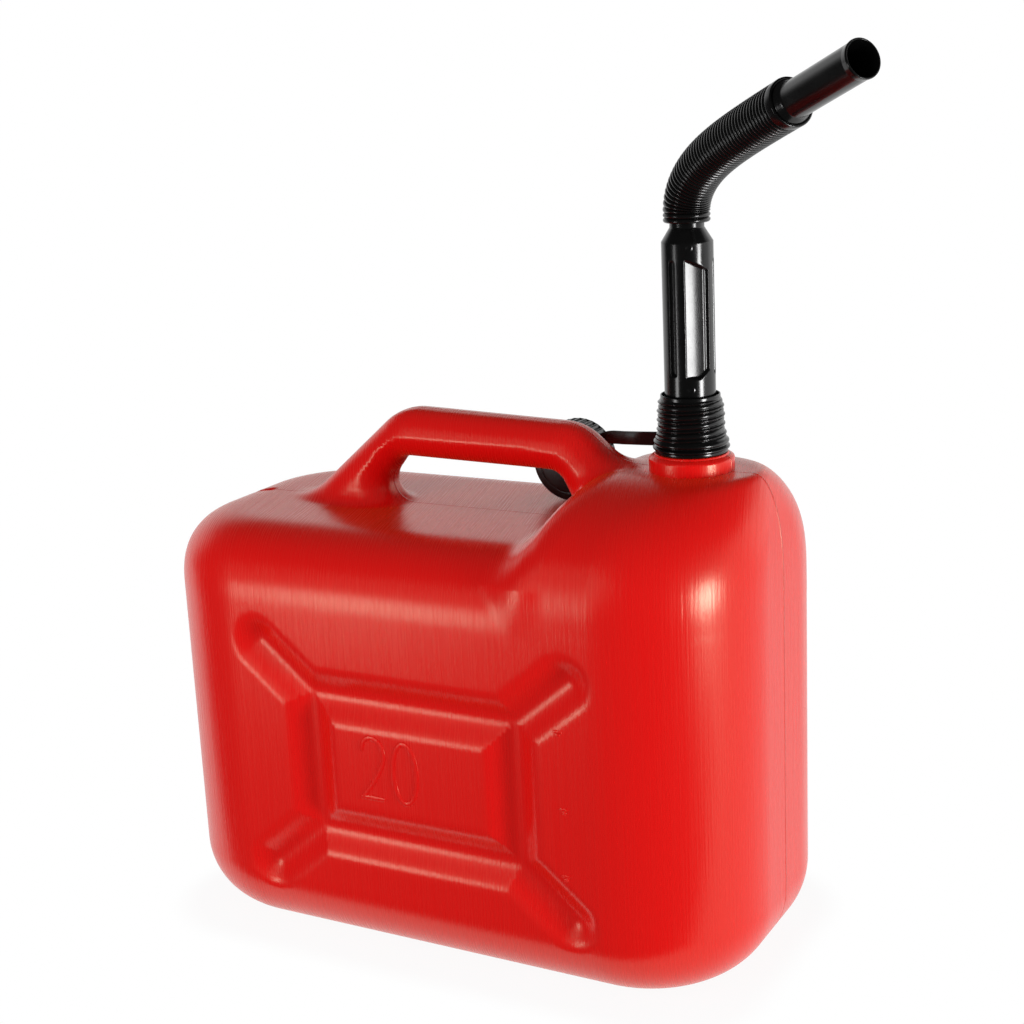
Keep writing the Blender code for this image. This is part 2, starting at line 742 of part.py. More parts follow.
def build_grip_tube(collections, material):
    """The rigid tube of the spout: flange, pocketed grip, cone and the stub that carries the hose."""
    stub_top = HOSE_FOOT + STUB_REACH
    profile = [
        (STUB_BORE_RADIUS, stub_top),
        (STUB_RADIUS, stub_top),
        (STUB_RADIUS, GRIP_CONE_TOP),
        (GRIP_RADIUS, GRIP_SHOULDER),
        (GRIP_RADIUS, FLANGE_TOP),
        (GRIP_FLANGE_RADIUS, FLANGE_TOP),
        (GRIP_FLANGE_RADIUS, FLANGE_FOOT),
        (GRIP_BORE_RADIUS, FLANGE_FOOT),
        (GRIP_BORE_RADIUS, GRIP_SHOULDER - STUB_REACH),
        (STUB_BORE_RADIUS, GRIP_CONE_TOP - STUB_REACH),
    ]
    place = Matrix.Translation((NECK_X, 0.0, 0.0))
    tube = add_piece(
        "grip_tube", move_mesh(turned_mesh("grip_tube", profile), place), collections["jerrycan"], material
    )
    outer = GRIP_RADIUS + OVERRUN
    foot = FLANGE_TOP + POCKET_FOOT_MARGIN
    top = GRIP_SHOULDER - POCKET_TOP_MARGIN
    for side in (0.0, math.pi):
        heading = SPOUT_HEADING + side
        shapes = [(heading, POCKET_SPAN, POCKET_DEPTH, POCKET_END_SLOPE)]
        for offset in (-SLOT_OFFSET, SLOT_OFFSET):
            shapes.append((heading + offset, SLOT_SPAN, SLOT_DEPTH, 0.0))
        for index, (angle, span, depth, slope) in enumerate(shapes):
            name = f"pocket_{index}_{int(math.degrees(side))}"
            mesh = sector_mesh(name, angle, span, GRIP_RADIUS - depth, outer, foot, top, slope)
            boolean(tube, add_cutter(name, move_mesh(mesh, place), collections["cutters"]), "DIFFERENCE")
    return tube


def hose_point(distance):
    """Place and heading of the hose's centre line at a distance from its foot.

    The line runs straight up at first, and then its rise eases from upright to the nozzle's.
    """
    reach = 0.0
    height = HOSE_FOOT
    step = distance / HOSE_LINE_STEPS
    for index in range(HOSE_LINE_STEPS):
        along = max(0.0, (index + 0.5) * step - HOSE_STRAIGHT)
        rise = NOZZLE_RISE + (0.5 * math.pi - NOZZLE_RISE) * math.exp(-along / HOSE_EASING)
        reach += step * math.cos(rise)
        height += step * math.sin(rise)
    along = max(0.0, distance - HOSE_STRAIGHT)
    rise = NOZZLE_RISE + (0.5 * math.pi - NOZZLE_RISE) * math.exp(-along / HOSE_EASING)
    place = Vector((NECK_X + reach * math.cos(SPOUT_HEADING), reach * math.sin(SPOUT_HEADING), height))
    heading = Vector(
        (math.cos(rise) * math.cos(SPOUT_HEADING), math.cos(rise) * math.sin(SPOUT_HEADING), math.sin(rise))
    )
    return place, heading


def build_hose(collections, material):
    """The ribbed hose: its ribs stand on a bore that runs through, with a plain cuff at the nozzle end."""
    ribbed = HOSE_LENGTH - HOSE_CUFF
    pitch = ribbed / HOSE_RIBS
    places = []
    for rib in range(HOSE_RIBS):
        places.append((rib * pitch, HOSE_RADIUS))
        places.append(((rib + 0.5) * pitch, HOSE_ROOT_RADIUS))
    places.append((ribbed, HOSE_RADIUS))
    places.append((HOSE_LENGTH, HOSE_RADIUS))
    points = [hose_point(distance)[0] for distance, _ in places]
    radii = [radius for _, radius in places]
    mesh = tube_mesh("flex_hose", points, radii)
    hose = add_piece("flex_hose", mesh, collections["jerrycan"], material)
    start, upright = hose_point(0.0)
    bore = [start - upright * OVERRUN]
    bore += [hose_point(ribbed * step / HOSE_BORE_STEPS)[0] for step in range(HOSE_BORE_STEPS + 1)]
    bore_mesh = tube_mesh("hose_bore", bore, [HOSE_BORE_RADIUS] * len(bore))
    boolean(hose, add_cutter("hose_bore", bore_mesh, collections["cutters"]), "DIFFERENCE")
    end, heading = hose_point(HOSE_LENGTH)
    cuff = [hose_point(ribbed)[0] - heading * RUNNING_GAP, end + heading * OVERRUN]
    cuff_mesh = tube_mesh("cuff_bore", cuff, [HOSE_CUFF_BORE_RADIUS] * 2, bevel_resolution=4)
    boolean(hose, add_cutter("cuff_bore", cuff_mesh, collections["cutters"]), "DIFFERENCE")
    return hose


def build_nozzle(collections, material):
    """The smooth nozzle: a bead that seats in the cuff, a straight tube and a rolled lip."""
    seated = HOSE_CUFF - 2 * SEAT_GAP
    lip = NOZZLE_RADIUS + NOZZLE_LIP
    profile = [
        (NOZZLE_BORE_RADIUS, NOZZLE_REACH),
        (lip, NOZZLE_REACH),
        (lip, NOZZLE_REACH - 2 * NOZZLE_LIP),
        (NOZZLE_RADIUS, NOZZLE_REACH - 4 * NOZZLE_LIP),
        (NOZZLE_RADIUS, NOZZLE_BEAD_LENGTH - seated),
        (NOZZLE_BEAD_RADIUS, NOZZLE_BEAD_TAPER_SHARE * NOZZLE_BEAD_LENGTH - seated),
        (NOZZLE_BEAD_RADIUS, -seated),
        (NOZZLE_BORE_RADIUS, -seated),
    ]
    mesh = turned_mesh("nozzle_tube", profile, SMALL_TURN_STEPS)
    end, heading = hose_point(HOSE_LENGTH)
    turn = heading.to_track_quat("Z", "X").to_matrix().to_4x4()
    place = Matrix.Translation(end) @ turn
    return add_piece("nozzle_tube", move_mesh(mesh, place), collections["jerrycan"], material)


def cap_frame():
    """Places a shape turned about Z so that its +Z becomes the cap's open side, towards +Y."""
    return Matrix.Translation((CAP_X, CAP_FACE_Y, CAP_CENTRE)) @ Matrix.Rotation(math.radians(-90.0), 4, "X")


def toothed_outline(radius, depth, teeth):
    """A round outline with square teeth, two points to each crest and to each gap."""
    outline = []
    for step in range(4 * teeth):
        angle = math.tau * (step + 0.5) / (4 * teeth)
        here = radius if step % 4 < 2 else radius - depth
        outline.append((here * math.cos(angle), here * math.sin(angle)))
    return outline


def build_cap(collections, material):
    """The cap: a toothed skirt, a closed face and the lipped boss that the tether's ring turns on."""
    cutters = collections["cutters"]
    inner = CAP_RADIUS - CAP_TOOTH_DEPTH - CAP_WALL
    face = CAP_RADIUS - CAP_FACE_MARGIN
    boss = CAP_RING_RADIUS - CAP_RING_WIDTH - RUNNING_GAP
    lip = STRAP_THICKNESS + 2 * SEAT_GAP
    end = lip + BOSS_LIP_THICKNESS
    outline = toothed_outline(CAP_RADIUS, CAP_TOOTH_DEPTH, CAP_TEETH)
    skirt_length = CAP_DEPTH - CAP_FACE_MARGIN
    skirt = slab_mesh("storage_cap", [outline], 0.5 * skirt_length, 0.0, 0, False)
    lift = Matrix.Translation((0.0, 0.0, CAP_FACE_MARGIN + 0.5 * skirt_length))
    cap = add_piece("storage_cap", move_mesh(skirt, cap_frame() @ lift), collections["jerrycan"], material)
    profile = [
        (0.0, 0.5 * CAP_DEPTH),
        (inner + 0.5 * CAP_WALL, 0.5 * CAP_DEPTH),
        (CAP_RADIUS - CAP_TOOTH_DEPTH - SEAT_GAP, CAP_FACE_MARGIN + SEAT_GAP),
        (face, 0.0),
        (boss, 0.0),
        (boss, -lip),
        (boss + BOSS_LIP, -lip),
        (boss, -end),
        (0.0, -end),
    ]
    front = move_mesh(turned_mesh("cap_face", profile, SMALL_TURN_STEPS), cap_frame())
    boolean(cap, add_cutter("cap_face", front, cutters), "UNION")
    inside = disc_mesh("cap_inside", inner, CAP_FACE_THICKNESS, CAP_DEPTH + OVERRUN, TURN_STEPS)
    boolean(cap, add_cutter("cap_inside", move_mesh(inside, cap_frame()), cutters), "DIFFERENCE")
    return cap


def build_liner(collections, material):
    """The sealing disc inside the cap."""
    radius = CAP_RADIUS - CAP_TOOTH_DEPTH - CAP_WALL - SEAT_GAP
    bottom = CAP_FACE_THICKNESS + SEAT_GAP
    mesh = disc_mesh("cap_liner", radius, bottom, bottom + LINER_THICKNESS, SMALL_TURN_STEPS)
    return add_piece("cap_liner", move_mesh(mesh, cap_frame()), collections["jerrycan"], material)


def strap_points():
    """The strap's middle line, from a tab on the neck ring past the handle's root to the cap's ring."""
    leave = SCREW_COLLAR_FLARE_RADIUS + STRAP_SETBACK
    land = CAP_RING_RADIUS - STRAP_SETBACK
    start = Vector((NECK_X, 0.0, COLLAR_TOP + SEAT_GAP + 0.5 * STRAP_WIDTH))
    start += leave * Vector((math.cos(TETHER_HEADING), math.sin(TETHER_HEADING), 0.0))
    end = Vector((CAP_X, CAP_FACE_Y - SEAT_GAP - 0.5 * STRAP_THICKNESS, CAP_CENTRE))
    end += land * Vector((math.cos(STRAP_LANDING), 0.0, math.sin(STRAP_LANDING)))
    span = end - start
    points = []
    for shares in STRAP_ROUTE_SHARES:
        points.append(start + Vector([along * share for along, share in zip(span, shares)]))
    return points


def build_tether(collections, material):
    """The moulded tether: a ring on the neck, a strap on edge and a flat ring on the cap's boss."""
    bottom = COLLAR_TOP + SEAT_GAP
    top = bottom + TETHER_RING_THICKNESS
    inner = NECK_ROOT_RADIUS + RUNNING_GAP
    at_neck = Matrix.Translation((NECK_X, 0.0, 0.0))
    profile = [(inner, top), (TETHER_RING_RADIUS, top), (TETHER_RING_RADIUS, bottom), (inner, bottom)]
    ring = move_mesh(turned_mesh("cap_tether", profile, SMALL_TURN_STEPS), at_neck)
    tether = add_piece("cap_tether", ring, collections["jerrycan"], material)
    reach = SCREW_COLLAR_FLARE_RADIUS + STRAP_SETBACK + 0.5 * STRAP_THICKNESS
    half = 0.5 * STRAP_WIDTH
    tab = box_mesh("tether_tab", (inner + OVERRUN, -half, bottom), (reach, half, top))
    tab = move_mesh(tab, at_neck @ Matrix.Rotation(TETHER_HEADING, 4, "Z"))
    hole = CAP_RING_RADIUS - CAP_RING_WIDTH
    back = -SEAT_GAP
    front = back - STRAP_THICKNESS
    cap_profile = [(hole, back), (CAP_RING_RADIUS, back), (CAP_RING_RADIUS, front), (hole, front)]
    cap_ring = move_mesh(turned_mesh("cap_ring", cap_profile), cap_frame())
    for name, mesh in (("tether_tab", tab), ("strap", strap_mesh()), ("cap_ring", cap_ring)):
        boolean(tether, add_cutter(name, mesh, collections["cutters"]), "UNION")
    return tether


def strap_mesh():
    """A flat band on edge along a smooth line through the strap's points."""
    points = strap_points()
    rows = []
    for index in range(len(points) - 1):
        before = points[max(index - 1, 0)]
        here = points[index]
        after = points[index + 1]
        beyond = points[min(index + 2, len(points) - 1)]
        for step in range(ARC_STEPS):
            t = step / ARC_STEPS
            rows.append(
                0.5
                * (
                    2.0 * here
                    + (after - before) * t
                    + (2.0 * before - 5.0 * here + 4.0 * after - beyond) * t**2
                    + (3.0 * here - before - 3.0 * after + beyond) * t**3
                )
            )
    rows.append(points[-1])
    form = bmesh.new()
    loops = []
    for index, place in enumerate(rows):
        ahead = rows[min(index + 1, len(rows) - 1)] - rows[max(index - 1, 0)]
        side = Vector((-ahead.y, ahead.x, 0.0)).normalized() * (0.5 * STRAP_THICKNESS)
        up = Vector((0.0, 0.0, 0.5 * STRAP_WIDTH))
        corners = (place + side + up, place + side - up, place - side - up, place - side + up)
        loops.append([form.verts.new(corner) for corner in corners])
    for first, second in zip(loops, loops[1:]):
        for index in range(4):
            after = (index + 1) % 4
            form.faces.new((first[index], first[after], second[after], second[index]))
    form.faces.new(loops[0])
    form.faces.new(loops[-1])
    bmesh.ops.recalc_face_normals(form, faces=form.faces)
    mesh = bpy.data.meshes.new("strap")
    form.to_mesh(mesh)
    form.free()
    return mesh


def main():
    """Build every piece of the can."""
    collections = clear_scene()
    red = make_material(*RED_PLASTIC)
    black = make_material(*BLACK_PLASTIC)
    rubber = make_material(*BLACK_RUBBER)
    build_can(collections, red)
    build_gasket(collections, rubber)
    build_screw_collar(collections, black)
    build_grip_tube(collections, black)
    build_hose(collections, black)
    build_nozzle(collections, black)
    build_cap(collections, black)
    build_liner(collections, rubber)
    build_tether(collections, black)


main()
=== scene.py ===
"""The looks of a plastic jerrycan with a bending spout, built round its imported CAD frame.

Everything is in metres in the frame's own axes: the origin is the centre of the base, +X points to
the neck, +Y away from the side that shows in front and +Z is up. Each piece is a surface worked out
with numpy: a distance field made into a skin, a profile turned about an axis, or a profile carried
along a line.
"""

from __future__ import annotations

import json
import logging
import math
from collections.abc import Callable, Sequence
from dataclasses import dataclass, field
from enum import Enum

import bpy
import numpy as np
from mathutils import Matrix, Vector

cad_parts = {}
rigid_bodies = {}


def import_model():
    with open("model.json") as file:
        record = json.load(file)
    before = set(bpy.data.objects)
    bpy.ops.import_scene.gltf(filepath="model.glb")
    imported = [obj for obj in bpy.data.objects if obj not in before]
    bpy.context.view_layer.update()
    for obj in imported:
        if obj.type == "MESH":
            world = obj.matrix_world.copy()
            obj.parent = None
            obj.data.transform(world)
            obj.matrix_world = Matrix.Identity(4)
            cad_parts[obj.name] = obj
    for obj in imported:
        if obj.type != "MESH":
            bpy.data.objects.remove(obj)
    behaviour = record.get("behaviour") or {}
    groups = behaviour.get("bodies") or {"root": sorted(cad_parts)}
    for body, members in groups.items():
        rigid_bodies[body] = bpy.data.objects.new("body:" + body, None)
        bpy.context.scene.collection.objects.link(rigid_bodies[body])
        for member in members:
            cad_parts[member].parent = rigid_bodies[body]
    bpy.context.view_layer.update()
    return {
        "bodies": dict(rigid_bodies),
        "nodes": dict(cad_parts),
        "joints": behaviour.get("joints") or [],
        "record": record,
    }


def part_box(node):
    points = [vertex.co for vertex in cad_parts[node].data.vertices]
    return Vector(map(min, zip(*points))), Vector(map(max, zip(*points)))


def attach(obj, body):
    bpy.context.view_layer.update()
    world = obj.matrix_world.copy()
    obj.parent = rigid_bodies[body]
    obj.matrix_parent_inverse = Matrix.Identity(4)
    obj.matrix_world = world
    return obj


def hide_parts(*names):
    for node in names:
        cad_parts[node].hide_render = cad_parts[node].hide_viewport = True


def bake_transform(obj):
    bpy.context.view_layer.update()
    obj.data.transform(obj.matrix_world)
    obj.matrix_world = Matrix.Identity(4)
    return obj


Piece = bpy.types.Object
Tree = bpy.types.NodeTree
Socket = bpy.types.NodeSocket
Shape = tuple[np.ndarray, np.ndarray]
Relief = Callable[[np.ndarray, np.ndarray, np.ndarray], np.ndarray]

LOG = logging.getLogger("jerrycan")
WELD = 1e-7
TINY = 1e-6
CLEARANCE = 0.0003
RIM_RISE = 0.0010
STUB_LENGTH = 0.0085
BLEND_INSET = 0.012
HELIX_PITCH = 0.0054


# Meshes


def put_mesh(name: str, points: np.ndarray, faces: np.ndarray, outward: bool = True) -> Piece:
    """Make an object of points and four-cornered faces.

    Points closer than the weld distance become one, so that seams and poles close. A face whose
    corners have met becomes a triangle or goes. The sign of the enclosed volume, the sum of the
    volumes between each face and the origin, says whether all faces have to be turned over.

    Args:
        name: The piece's name.
        points: Places, shape (n, 3).
        faces: Corner numbers, shape (m, 4).
        outward: Whether the faces are turned by the sign of the volume.

    Returns:
        The new object, at the origin, shaded smooth.
    """
    keys = np.round(points / WELD).astype(np.int64)
    _, first, inverse = np.unique(keys, axis=0, return_index=True, return_inverse=True)
    points = points[first]
    faces = inverse.reshape(-1)[faces]
    if outward and enclosed_volume(points, faces) < 0.0:
        faces = faces[:, ::-1]
    a, b, c, d = faces.T
    met = np.stack((a == b, b == c, c == d, d == a))
    quads = faces[~met.any(axis=0)]
    single = met.sum(axis=0) == 1
    triangles = [
        faces[met[0] & single][:, (1, 2, 3)],
        faces[met[1] & single][:, (0, 2, 3)],
        faces[met[2] & single][:, (0, 1, 3)],
        faces[met[3] & single][:, (0, 1, 2)],
    ]
    triangles = np.concatenate(triangles)
    mesh = bpy.data.meshes.new(name)
    mesh.vertices.add(len(points))
    mesh.vertices.foreach_set("co", points.astype(np.float32).ravel())
    corners = np.concatenate((quads.ravel(), triangles.ravel())).astype(np.int32)
    mesh.loops.add(len(corners))
    mesh.loops.foreach_set("vertex_index", corners)
    starts = np.concatenate(
        (4 * np.arange(len(quads)), 4 * len(quads) + 3 * np.arange(len(triangles)))
    ).astype(np.int32)
    mesh.polygons.add(len(starts))
    mesh.polygons.foreach_set("loop_start", starts)
    mesh.polygons.foreach_set("use_smooth", np.ones(len(starts), dtype=bool))
    mesh.update(calc_edges=True)
    mesh.validate()
    piece = bpy.data.objects.new(name, mesh)
    bpy.context.scene.collection.objects.link(piece)
    return piece


def enclosed_volume(points: np.ndarray, faces: np.ndarray) -> float:
    """Signed volume inside closed faces: positive where they face outwards.

    Args:
        points: Places, shape (n, 3).
        faces: Corner numbers, shape (m, 4).

    Returns:
        The volume in cubic metres.
    """
    a, b, c, d = (points[faces[:, corner]] for corner in range(4))
    halves = np.einsum("ij,ij->i", a, np.cross(b, c)) + np.einsum("ij,ij->i", a, np.cross(c, d))
    return float(halves.sum() / 6.0)


def grid_faces(rows: int, columns: int, close_rows: bool, close_columns: bool) -> np.ndarray:
    """Corner numbers of the faces of a grid of points.

    Each face joins a point to its neighbour in the row, in the next row and across. A closed
    direction runs on from its last point to its first.

    Args:
        rows: Points in the first direction.
        columns: Points in the second direction.
        close_rows: Whether the first direction is closed.
        close_columns: Whether the second direction is closed.

    Returns:
        Faces, shape (m, 4).
    """
    row = np.arange(rows if close_rows else rows - 1)[:, None]
    column = np.arange(columns if close_columns else columns - 1)[None, :]
    next_row = (row + 1) % rows
    next_column = (column + 1) % columns
    corners = (
        row * columns + column,
        row * columns + next_column,
        next_row * columns + next_column,
        next_row * columns + column,
    )
    return np.stack([corner.ravel() for corner in corners], axis=1)


def rounded(corners: list[tuple[float, float, float]], steps: int = 6, closed: bool = True) -> np.ndarray:
    """Points along an outline whose corners are turned by arcs.

    Each corner is (u, v, radius). Its arc touches both sides at radius / tan(half the corner's
    angle) from the corner, and its centre lies on the corner's bisector.

    Args:
        corners: The outline's corners.
        steps: Faces on each arc.
        closed: Whether the outline closes on itself. The ends of an open one stay sharp.

    Returns:
        Points, shape (n, 2).
    """
    places = np.array([corner[:2] for corner in corners], dtype=float)
    points: list[np.ndarray] = []
    for index, (_, _, radius) in enumerate(corners):
        here = places[index]
        at_end = not closed and index in (0, len(corners) - 1)
        if radius <= 0.0 or at_end:
            points.append(here[None, :])
            continue
        before = places[index - 1] - here
        after = places[(index + 1) % len(corners)] - here
        before /= np.linalg.norm(before)
        after /= np.linalg.norm(after)
        half = 0.5 * math.acos(float(np.clip(before @ after, -1.0, 1.0)))
        bisector = (before + after) / np.linalg.norm(before + after)
        centre = here + bisector * radius / math.sin(half)
        start = here + before * radius / math.tan(half) - centre
        end = here + after * radius / math.tan(half) - centre
        sweep = math.atan2(start[0] * end[1] - start[1] * end[0], float(start @ end))
        turn = sweep * np.linspace(0.0, 1.0, steps + 1)
        x = start[0] * np.cos(turn) - start[1] * np.sin(turn)
        y = start[0] * np.sin(turn) + start[1] * np.cos(turn)
        points.append(centre + np.stack((x, y), axis=1))
    return np.concatenate(points)


def finer(outline: np.ndarray, longest: float) -> np.ndarray:
    """An outline with points added so that no side is longer than a length.

    Args:
        outline: Points of a closed outline, shape (n, 2).
        longest: The longest side that stays.

    Returns:
        Points, shape (m, 2).
    """
    after = np.roll(outline, -1, axis=0)
    lengths = np.linalg.norm(after - outline, axis=1)
    counts = np.maximum(1, np.ceil(lengths / longest)).astype(int)
    owner = np.repeat(np.arange(len(outline)), counts)
    share = np.concatenate([np.arange(count) / count for count in counts])[:, None]
    return outline[owner] * (1.0 - share) + after[owner] * share


def turned(outline: np.ndarray, steps: int) -> Shape:
    """A closed outline of (radius, height) turned once about Z.

    Each point (r, z) goes to (r cos a, r sin a, z) for every angle a. The radius may differ from
    angle to angle, which makes threads, teeth and pockets.

    Args:
        outline: Shape (rows, 2), or (rows, steps, 2) where it changes with the angle.
        steps: Angles in the turn.

    Returns:
        Points and faces of the closed surface.
    """
    if outline.ndim == 2:
        outline = np.repeat(outline[:, None, :], steps, axis=1)
    angle = turn_angles(steps)[None, :]
    radius = outline[..., 0]
    grid = np.stack((radius * np.cos(angle), radius * np.sin(angle), outline[..., 1]), axis=-1)
    return grid.reshape(-1, 3), grid_faces(len(outline), steps, True, True)


def turn_angles(steps: int) -> np.ndarray:
    """Evenly spaced angles of one full turn."""
    return math.tau * np.arange(steps) / steps


def carried(
    places: np.ndarray, across: np.ndarray, above: np.ndarray, sections: np.ndarray, closed: bool
) -> Shape:
    """A closed section carried along a line.

    A section's point (u, v) goes to place + u across + v above.

    Args:
        places: The line's points, shape (rows, 3).
        across: Unit vectors of the section's first axis, shape (rows, 3), or (1, 3) for one.
        above: Unit vectors of its second axis, shape (rows, 3), or (1, 3) for one.
        sections: Section points, shape (rows, columns, 2), or (1, columns, 2) for one.
        closed: Whether the line closes on itself. An open one gets its ends closed to a point.

    Returns:
        Points and faces of the closed surface.
    """
    u = sections[..., 0:1]
    v = sections[..., 1:2]
    grid = places[:, None, :] + u * across[:, None, :] + v * above[:, None, :]
    if not closed:
        first = np.repeat(grid[:1].mean(axis=1, keepdims=True), grid.shape[1], axis=1)
        last = np.repeat(grid[-1:].mean(axis=1, keepdims=True), grid.shape[1], axis=1)
        grid = np.concatenate((first, grid, last))
    faces = grid_faces(grid.shape[0], grid.shape[1], closed, True)
    return grid.reshape(-1, 3), faces


def turned_piece(
    name: str, outline: np.ndarray, steps: int, matrix: np.ndarray, relief: Relief
) -> Piece:
    """A piece that is an outline turned once about Z, with relief on it.

    Args:
        name: The piece's name.
        outline: Points of (radius, height), shape (rows, 2).
        steps: Angles in the turn.
        matrix: What moves the turned shape into place.
        relief: What it adds to the radius, worked out from the radii and heights, shape (rows, 1),
            and the angles, shape (1, steps).

    Returns:
        The piece.
    """
    grid = np.repeat(outline[:, None, :], steps, axis=1)
    grid[..., 0] += relief(outline[:, 0:1], outline[:, 1:2], turn_angles(steps)[None, :])
    points, faces = turned(grid, steps)
    return put_mesh(name, placed(points, matrix), faces)


def round_tube(
    name: str, places: np.ndarray, across: np.ndarray, above: np.ndarray, radii: np.ndarray, steps: int
) -> Piece:
    """A closed run of circles carried along a line.

    Args:
        name: The piece's name.
        places: The circles' centres, shape (rows, 3).
        across: Unit vectors of their first axis, shape (rows, 3), or (1, 3) for one.
        above: Unit vectors of their second axis, shape (rows, 3), or (1, 3) for one.
        radii: Their radii, shape (rows,).
        steps: Points on each circle.

    Returns:
        The piece.
    """
    angle = turn_angles(steps)
    ring = np.stack((np.cos(angle), np.sin(angle)), axis=1)
    points, faces = carried(places, across, above, radii[:, None, None] * ring[None], True)
    return put_mesh(name, points, faces)


def together(shapes: list[Shape]) -> Shape:
    """Several closed shapes in one, each turned outwards first.

    Args:
        shapes: Points and faces of each.

    Returns:
        Points and faces of all.
    """
    all_points: list[np.ndarray] = []
    all_faces: list[np.ndarray] = []
    count = 0
    for points, faces in shapes:
        if enclosed_volume(points, faces) < 0.0:
            faces = faces[:, ::-1]
        all_points.append(points)
        all_faces.append(faces + count)
        count += len(points)
    return np.concatenate(all_points), np.concatenate(all_faces)


def placed(points: np.ndarray, matrix: np.ndarray) -> np.ndarray:
    """Points moved by a 4 by 4 matrix."""
    return points @ matrix[:3, :3].T + matrix[:3, 3]


def moved_to(place: tuple[float, float, float]) -> np.ndarray:
    """The matrix that moves the origin to a place."""
    matrix = np.eye(4)
    matrix[:3, 3] = place
    return matrix


def smooth_step(low: float, high: float, value: np.ndarray) -> np.ndarray:
    """0 below one value, 1 above another, and 3t^2 - 2t^3 between."""
    t = np.clip((value - low) / (high - low), 0.0, 1.0)
    return t * t * (3.0 - 2.0 * t)


def merged(first: np.ndarray, second: np.ndarray, fillet: np.ndarray | float) -> np.ndarray:
    """The union of two distance fields with a fillet where they cross.

    It is the lesser distance, less a quarter of the fillet times the square of how near the two
    are to each other as a share of the fillet.

    Args:
        first: One field.
        second: The other field.
        fillet: How far apart in value the two still melt into each other.

    Returns:
        The field of both.
    """
    near = np.maximum(fillet - np.abs(first - second), 0.0) / fillet
    return np.minimum(first, second) - 0.25 * fillet * near * near


def beyond_corner(first: np.ndarray, second: np.ndarray, power: float = 2.0) -> np.ndarray:
    """How far a point lies past a right-angled corner, from its distances past both sides.

    Outside it is (a^n + b^n)^(1/n) of the distances above zero, which is round for a power of 2, and
    inside it is the larger distance.

    Args:
        first: Distance past one side.
        second: Distance past the other.
        power: The n of the rounding.

    Returns:
        The distance at each point.
    """
    a = np.maximum(first, 0.0)
    b = np.maximum(second, 0.0)
    outside = np.hypot(a, b) if power == 2.0 else (a**power + b**power) ** (1.0 / power)
    return outside + np.minimum(np.maximum(first, second), 0.0)


def outline_distance(outline: np.ndarray, u: np.ndarray, v: np.ndarray) -> np.ndarray:
    """Signed distance to a closed outline, negative inside.

    It is the least distance to any side. A point is inside where a level ray from it crosses an odd
    number of sides.

    Args:
        outline: The outline's points, shape (n, 2).
        u: First coordinates of the points asked about.
        v: Second coordinates, which broadcast with the first.

    Returns:
        The distance at each point.
    """
    shape = np.broadcast_shapes(np.shape(u), np.shape(v))
    least = np.full(shape, np.inf)
    inside = np.zeros(shape, dtype=bool)
    for (u0, v0), (u1, v1) in zip(outline, np.roll(outline, -1, axis=0)):
        du = u1 - u0
        dv = v1 - v0
        along = np.clip(((u - u0) * du + (v - v0) * dv) / (du * du + dv * dv), 0.0, 1.0)
        least = np.minimum(least, (u - u0 - along * du) ** 2 + (v - v0 - along * dv) ** 2)
        if dv != 0.0:
            crosses = ((v0 > v) != (v1 > v)) & (u < u0 + du * (v - v0) / dv)
            inside ^= crosses
    return np.where(inside, -1.0, 1.0) * np.sqrt(least)


def skin_of(values: np.ndarray, low: np.ndarray, cell: float) -> Shape:
    """The skin where a field on a grid changes sign, as a net of four-cornered faces.

    Each cell that the skin passes gets one point, the mean of the places where the skin crosses the
    cell's edges. Each crossed edge gets one face through the points of the four cells round it.

    Args:
        values: The field, shape (nx, ny, nz), negative inside.
        low: The grid's lowest corner.
        cell: The grid's spacing.

    Returns:
        Points and faces, which face outwards.
    """
    shape = np.array(values.shape)
    inside = values < 0.0
    numbers: list[np.ndarray] = []
    crossings: list[np.ndarray] = []
    flips: list[np.ndarray] = []
    for axis in range(3):
        lower = [slice(1, -1)] * 3
        upper = [slice(1, -1)] * 3
        upper[axis] = slice(2, None)
        first = values[tuple(lower)]
        second = values[tuple(upper)]
        edge = np.argwhere(inside[tuple(lower)] != inside[tuple(upper)])
        at = tuple(edge.T)
        share = first[at] / (first[at] - second[at])
        place = edge + 1.0
        place[:, axis] += share
        one = (axis + 1) % 3
        two = (axis + 2) % 3
        cells = np.repeat(edge[:, None, :] + 1, 4, axis=1)
        cells[:, 1:3, one] -= 1
        cells[:, 2:4, two] -= 1
        numbers.append((cells[..., 0] * shape[1] + cells[..., 1]) * shape[2] + cells[..., 2])
        crossings.append(place)
        flips.append(~inside[tuple(lower)][at])
    corners = np.concatenate(numbers)
    place = np.concatenate(crossings)
    names, faces = np.unique(corners, return_inverse=True)
    faces = faces.reshape(-1, 4)
    count = np.bincount(faces.ravel(), minlength=len(names))
    points = np.empty((len(names), 3))
    for axis in range(3):
        weight = np.repeat(place[:, axis], 4)
        points[:, axis] = np.bincount(faces.ravel(), weights=weight, minlength=len(names)) / count
    over = np.concatenate(flips)
    faces[over] = faces[over][:, ::-1]
    return low + cell * points, faces


def relaxed(points: np.ndarray, faces: np.ndarray) -> np.ndarray:
    """Each point moved halfway to the mean of the points that it shares a face's side with."""
    ends = np.concatenate([faces[:, (corner, (corner + 1) % 4)] for corner in range(4)])
    count = np.bincount(ends[:, 0], minlength=len(points)) + np.bincount(ends[:, 1], minlength=len(points))
    mean = np.empty_like(points)
    for axis in range(3):
        there = np.bincount(ends[:, 0], weights=points[ends[:, 1], axis], minlength=len(points))
        back = np.bincount(ends[:, 1], weights=points[ends[:, 0], axis], minlength=len(points))
        mean[:, axis] = (there + back) / count
    return 0.5 * (points + mean)


# Materials


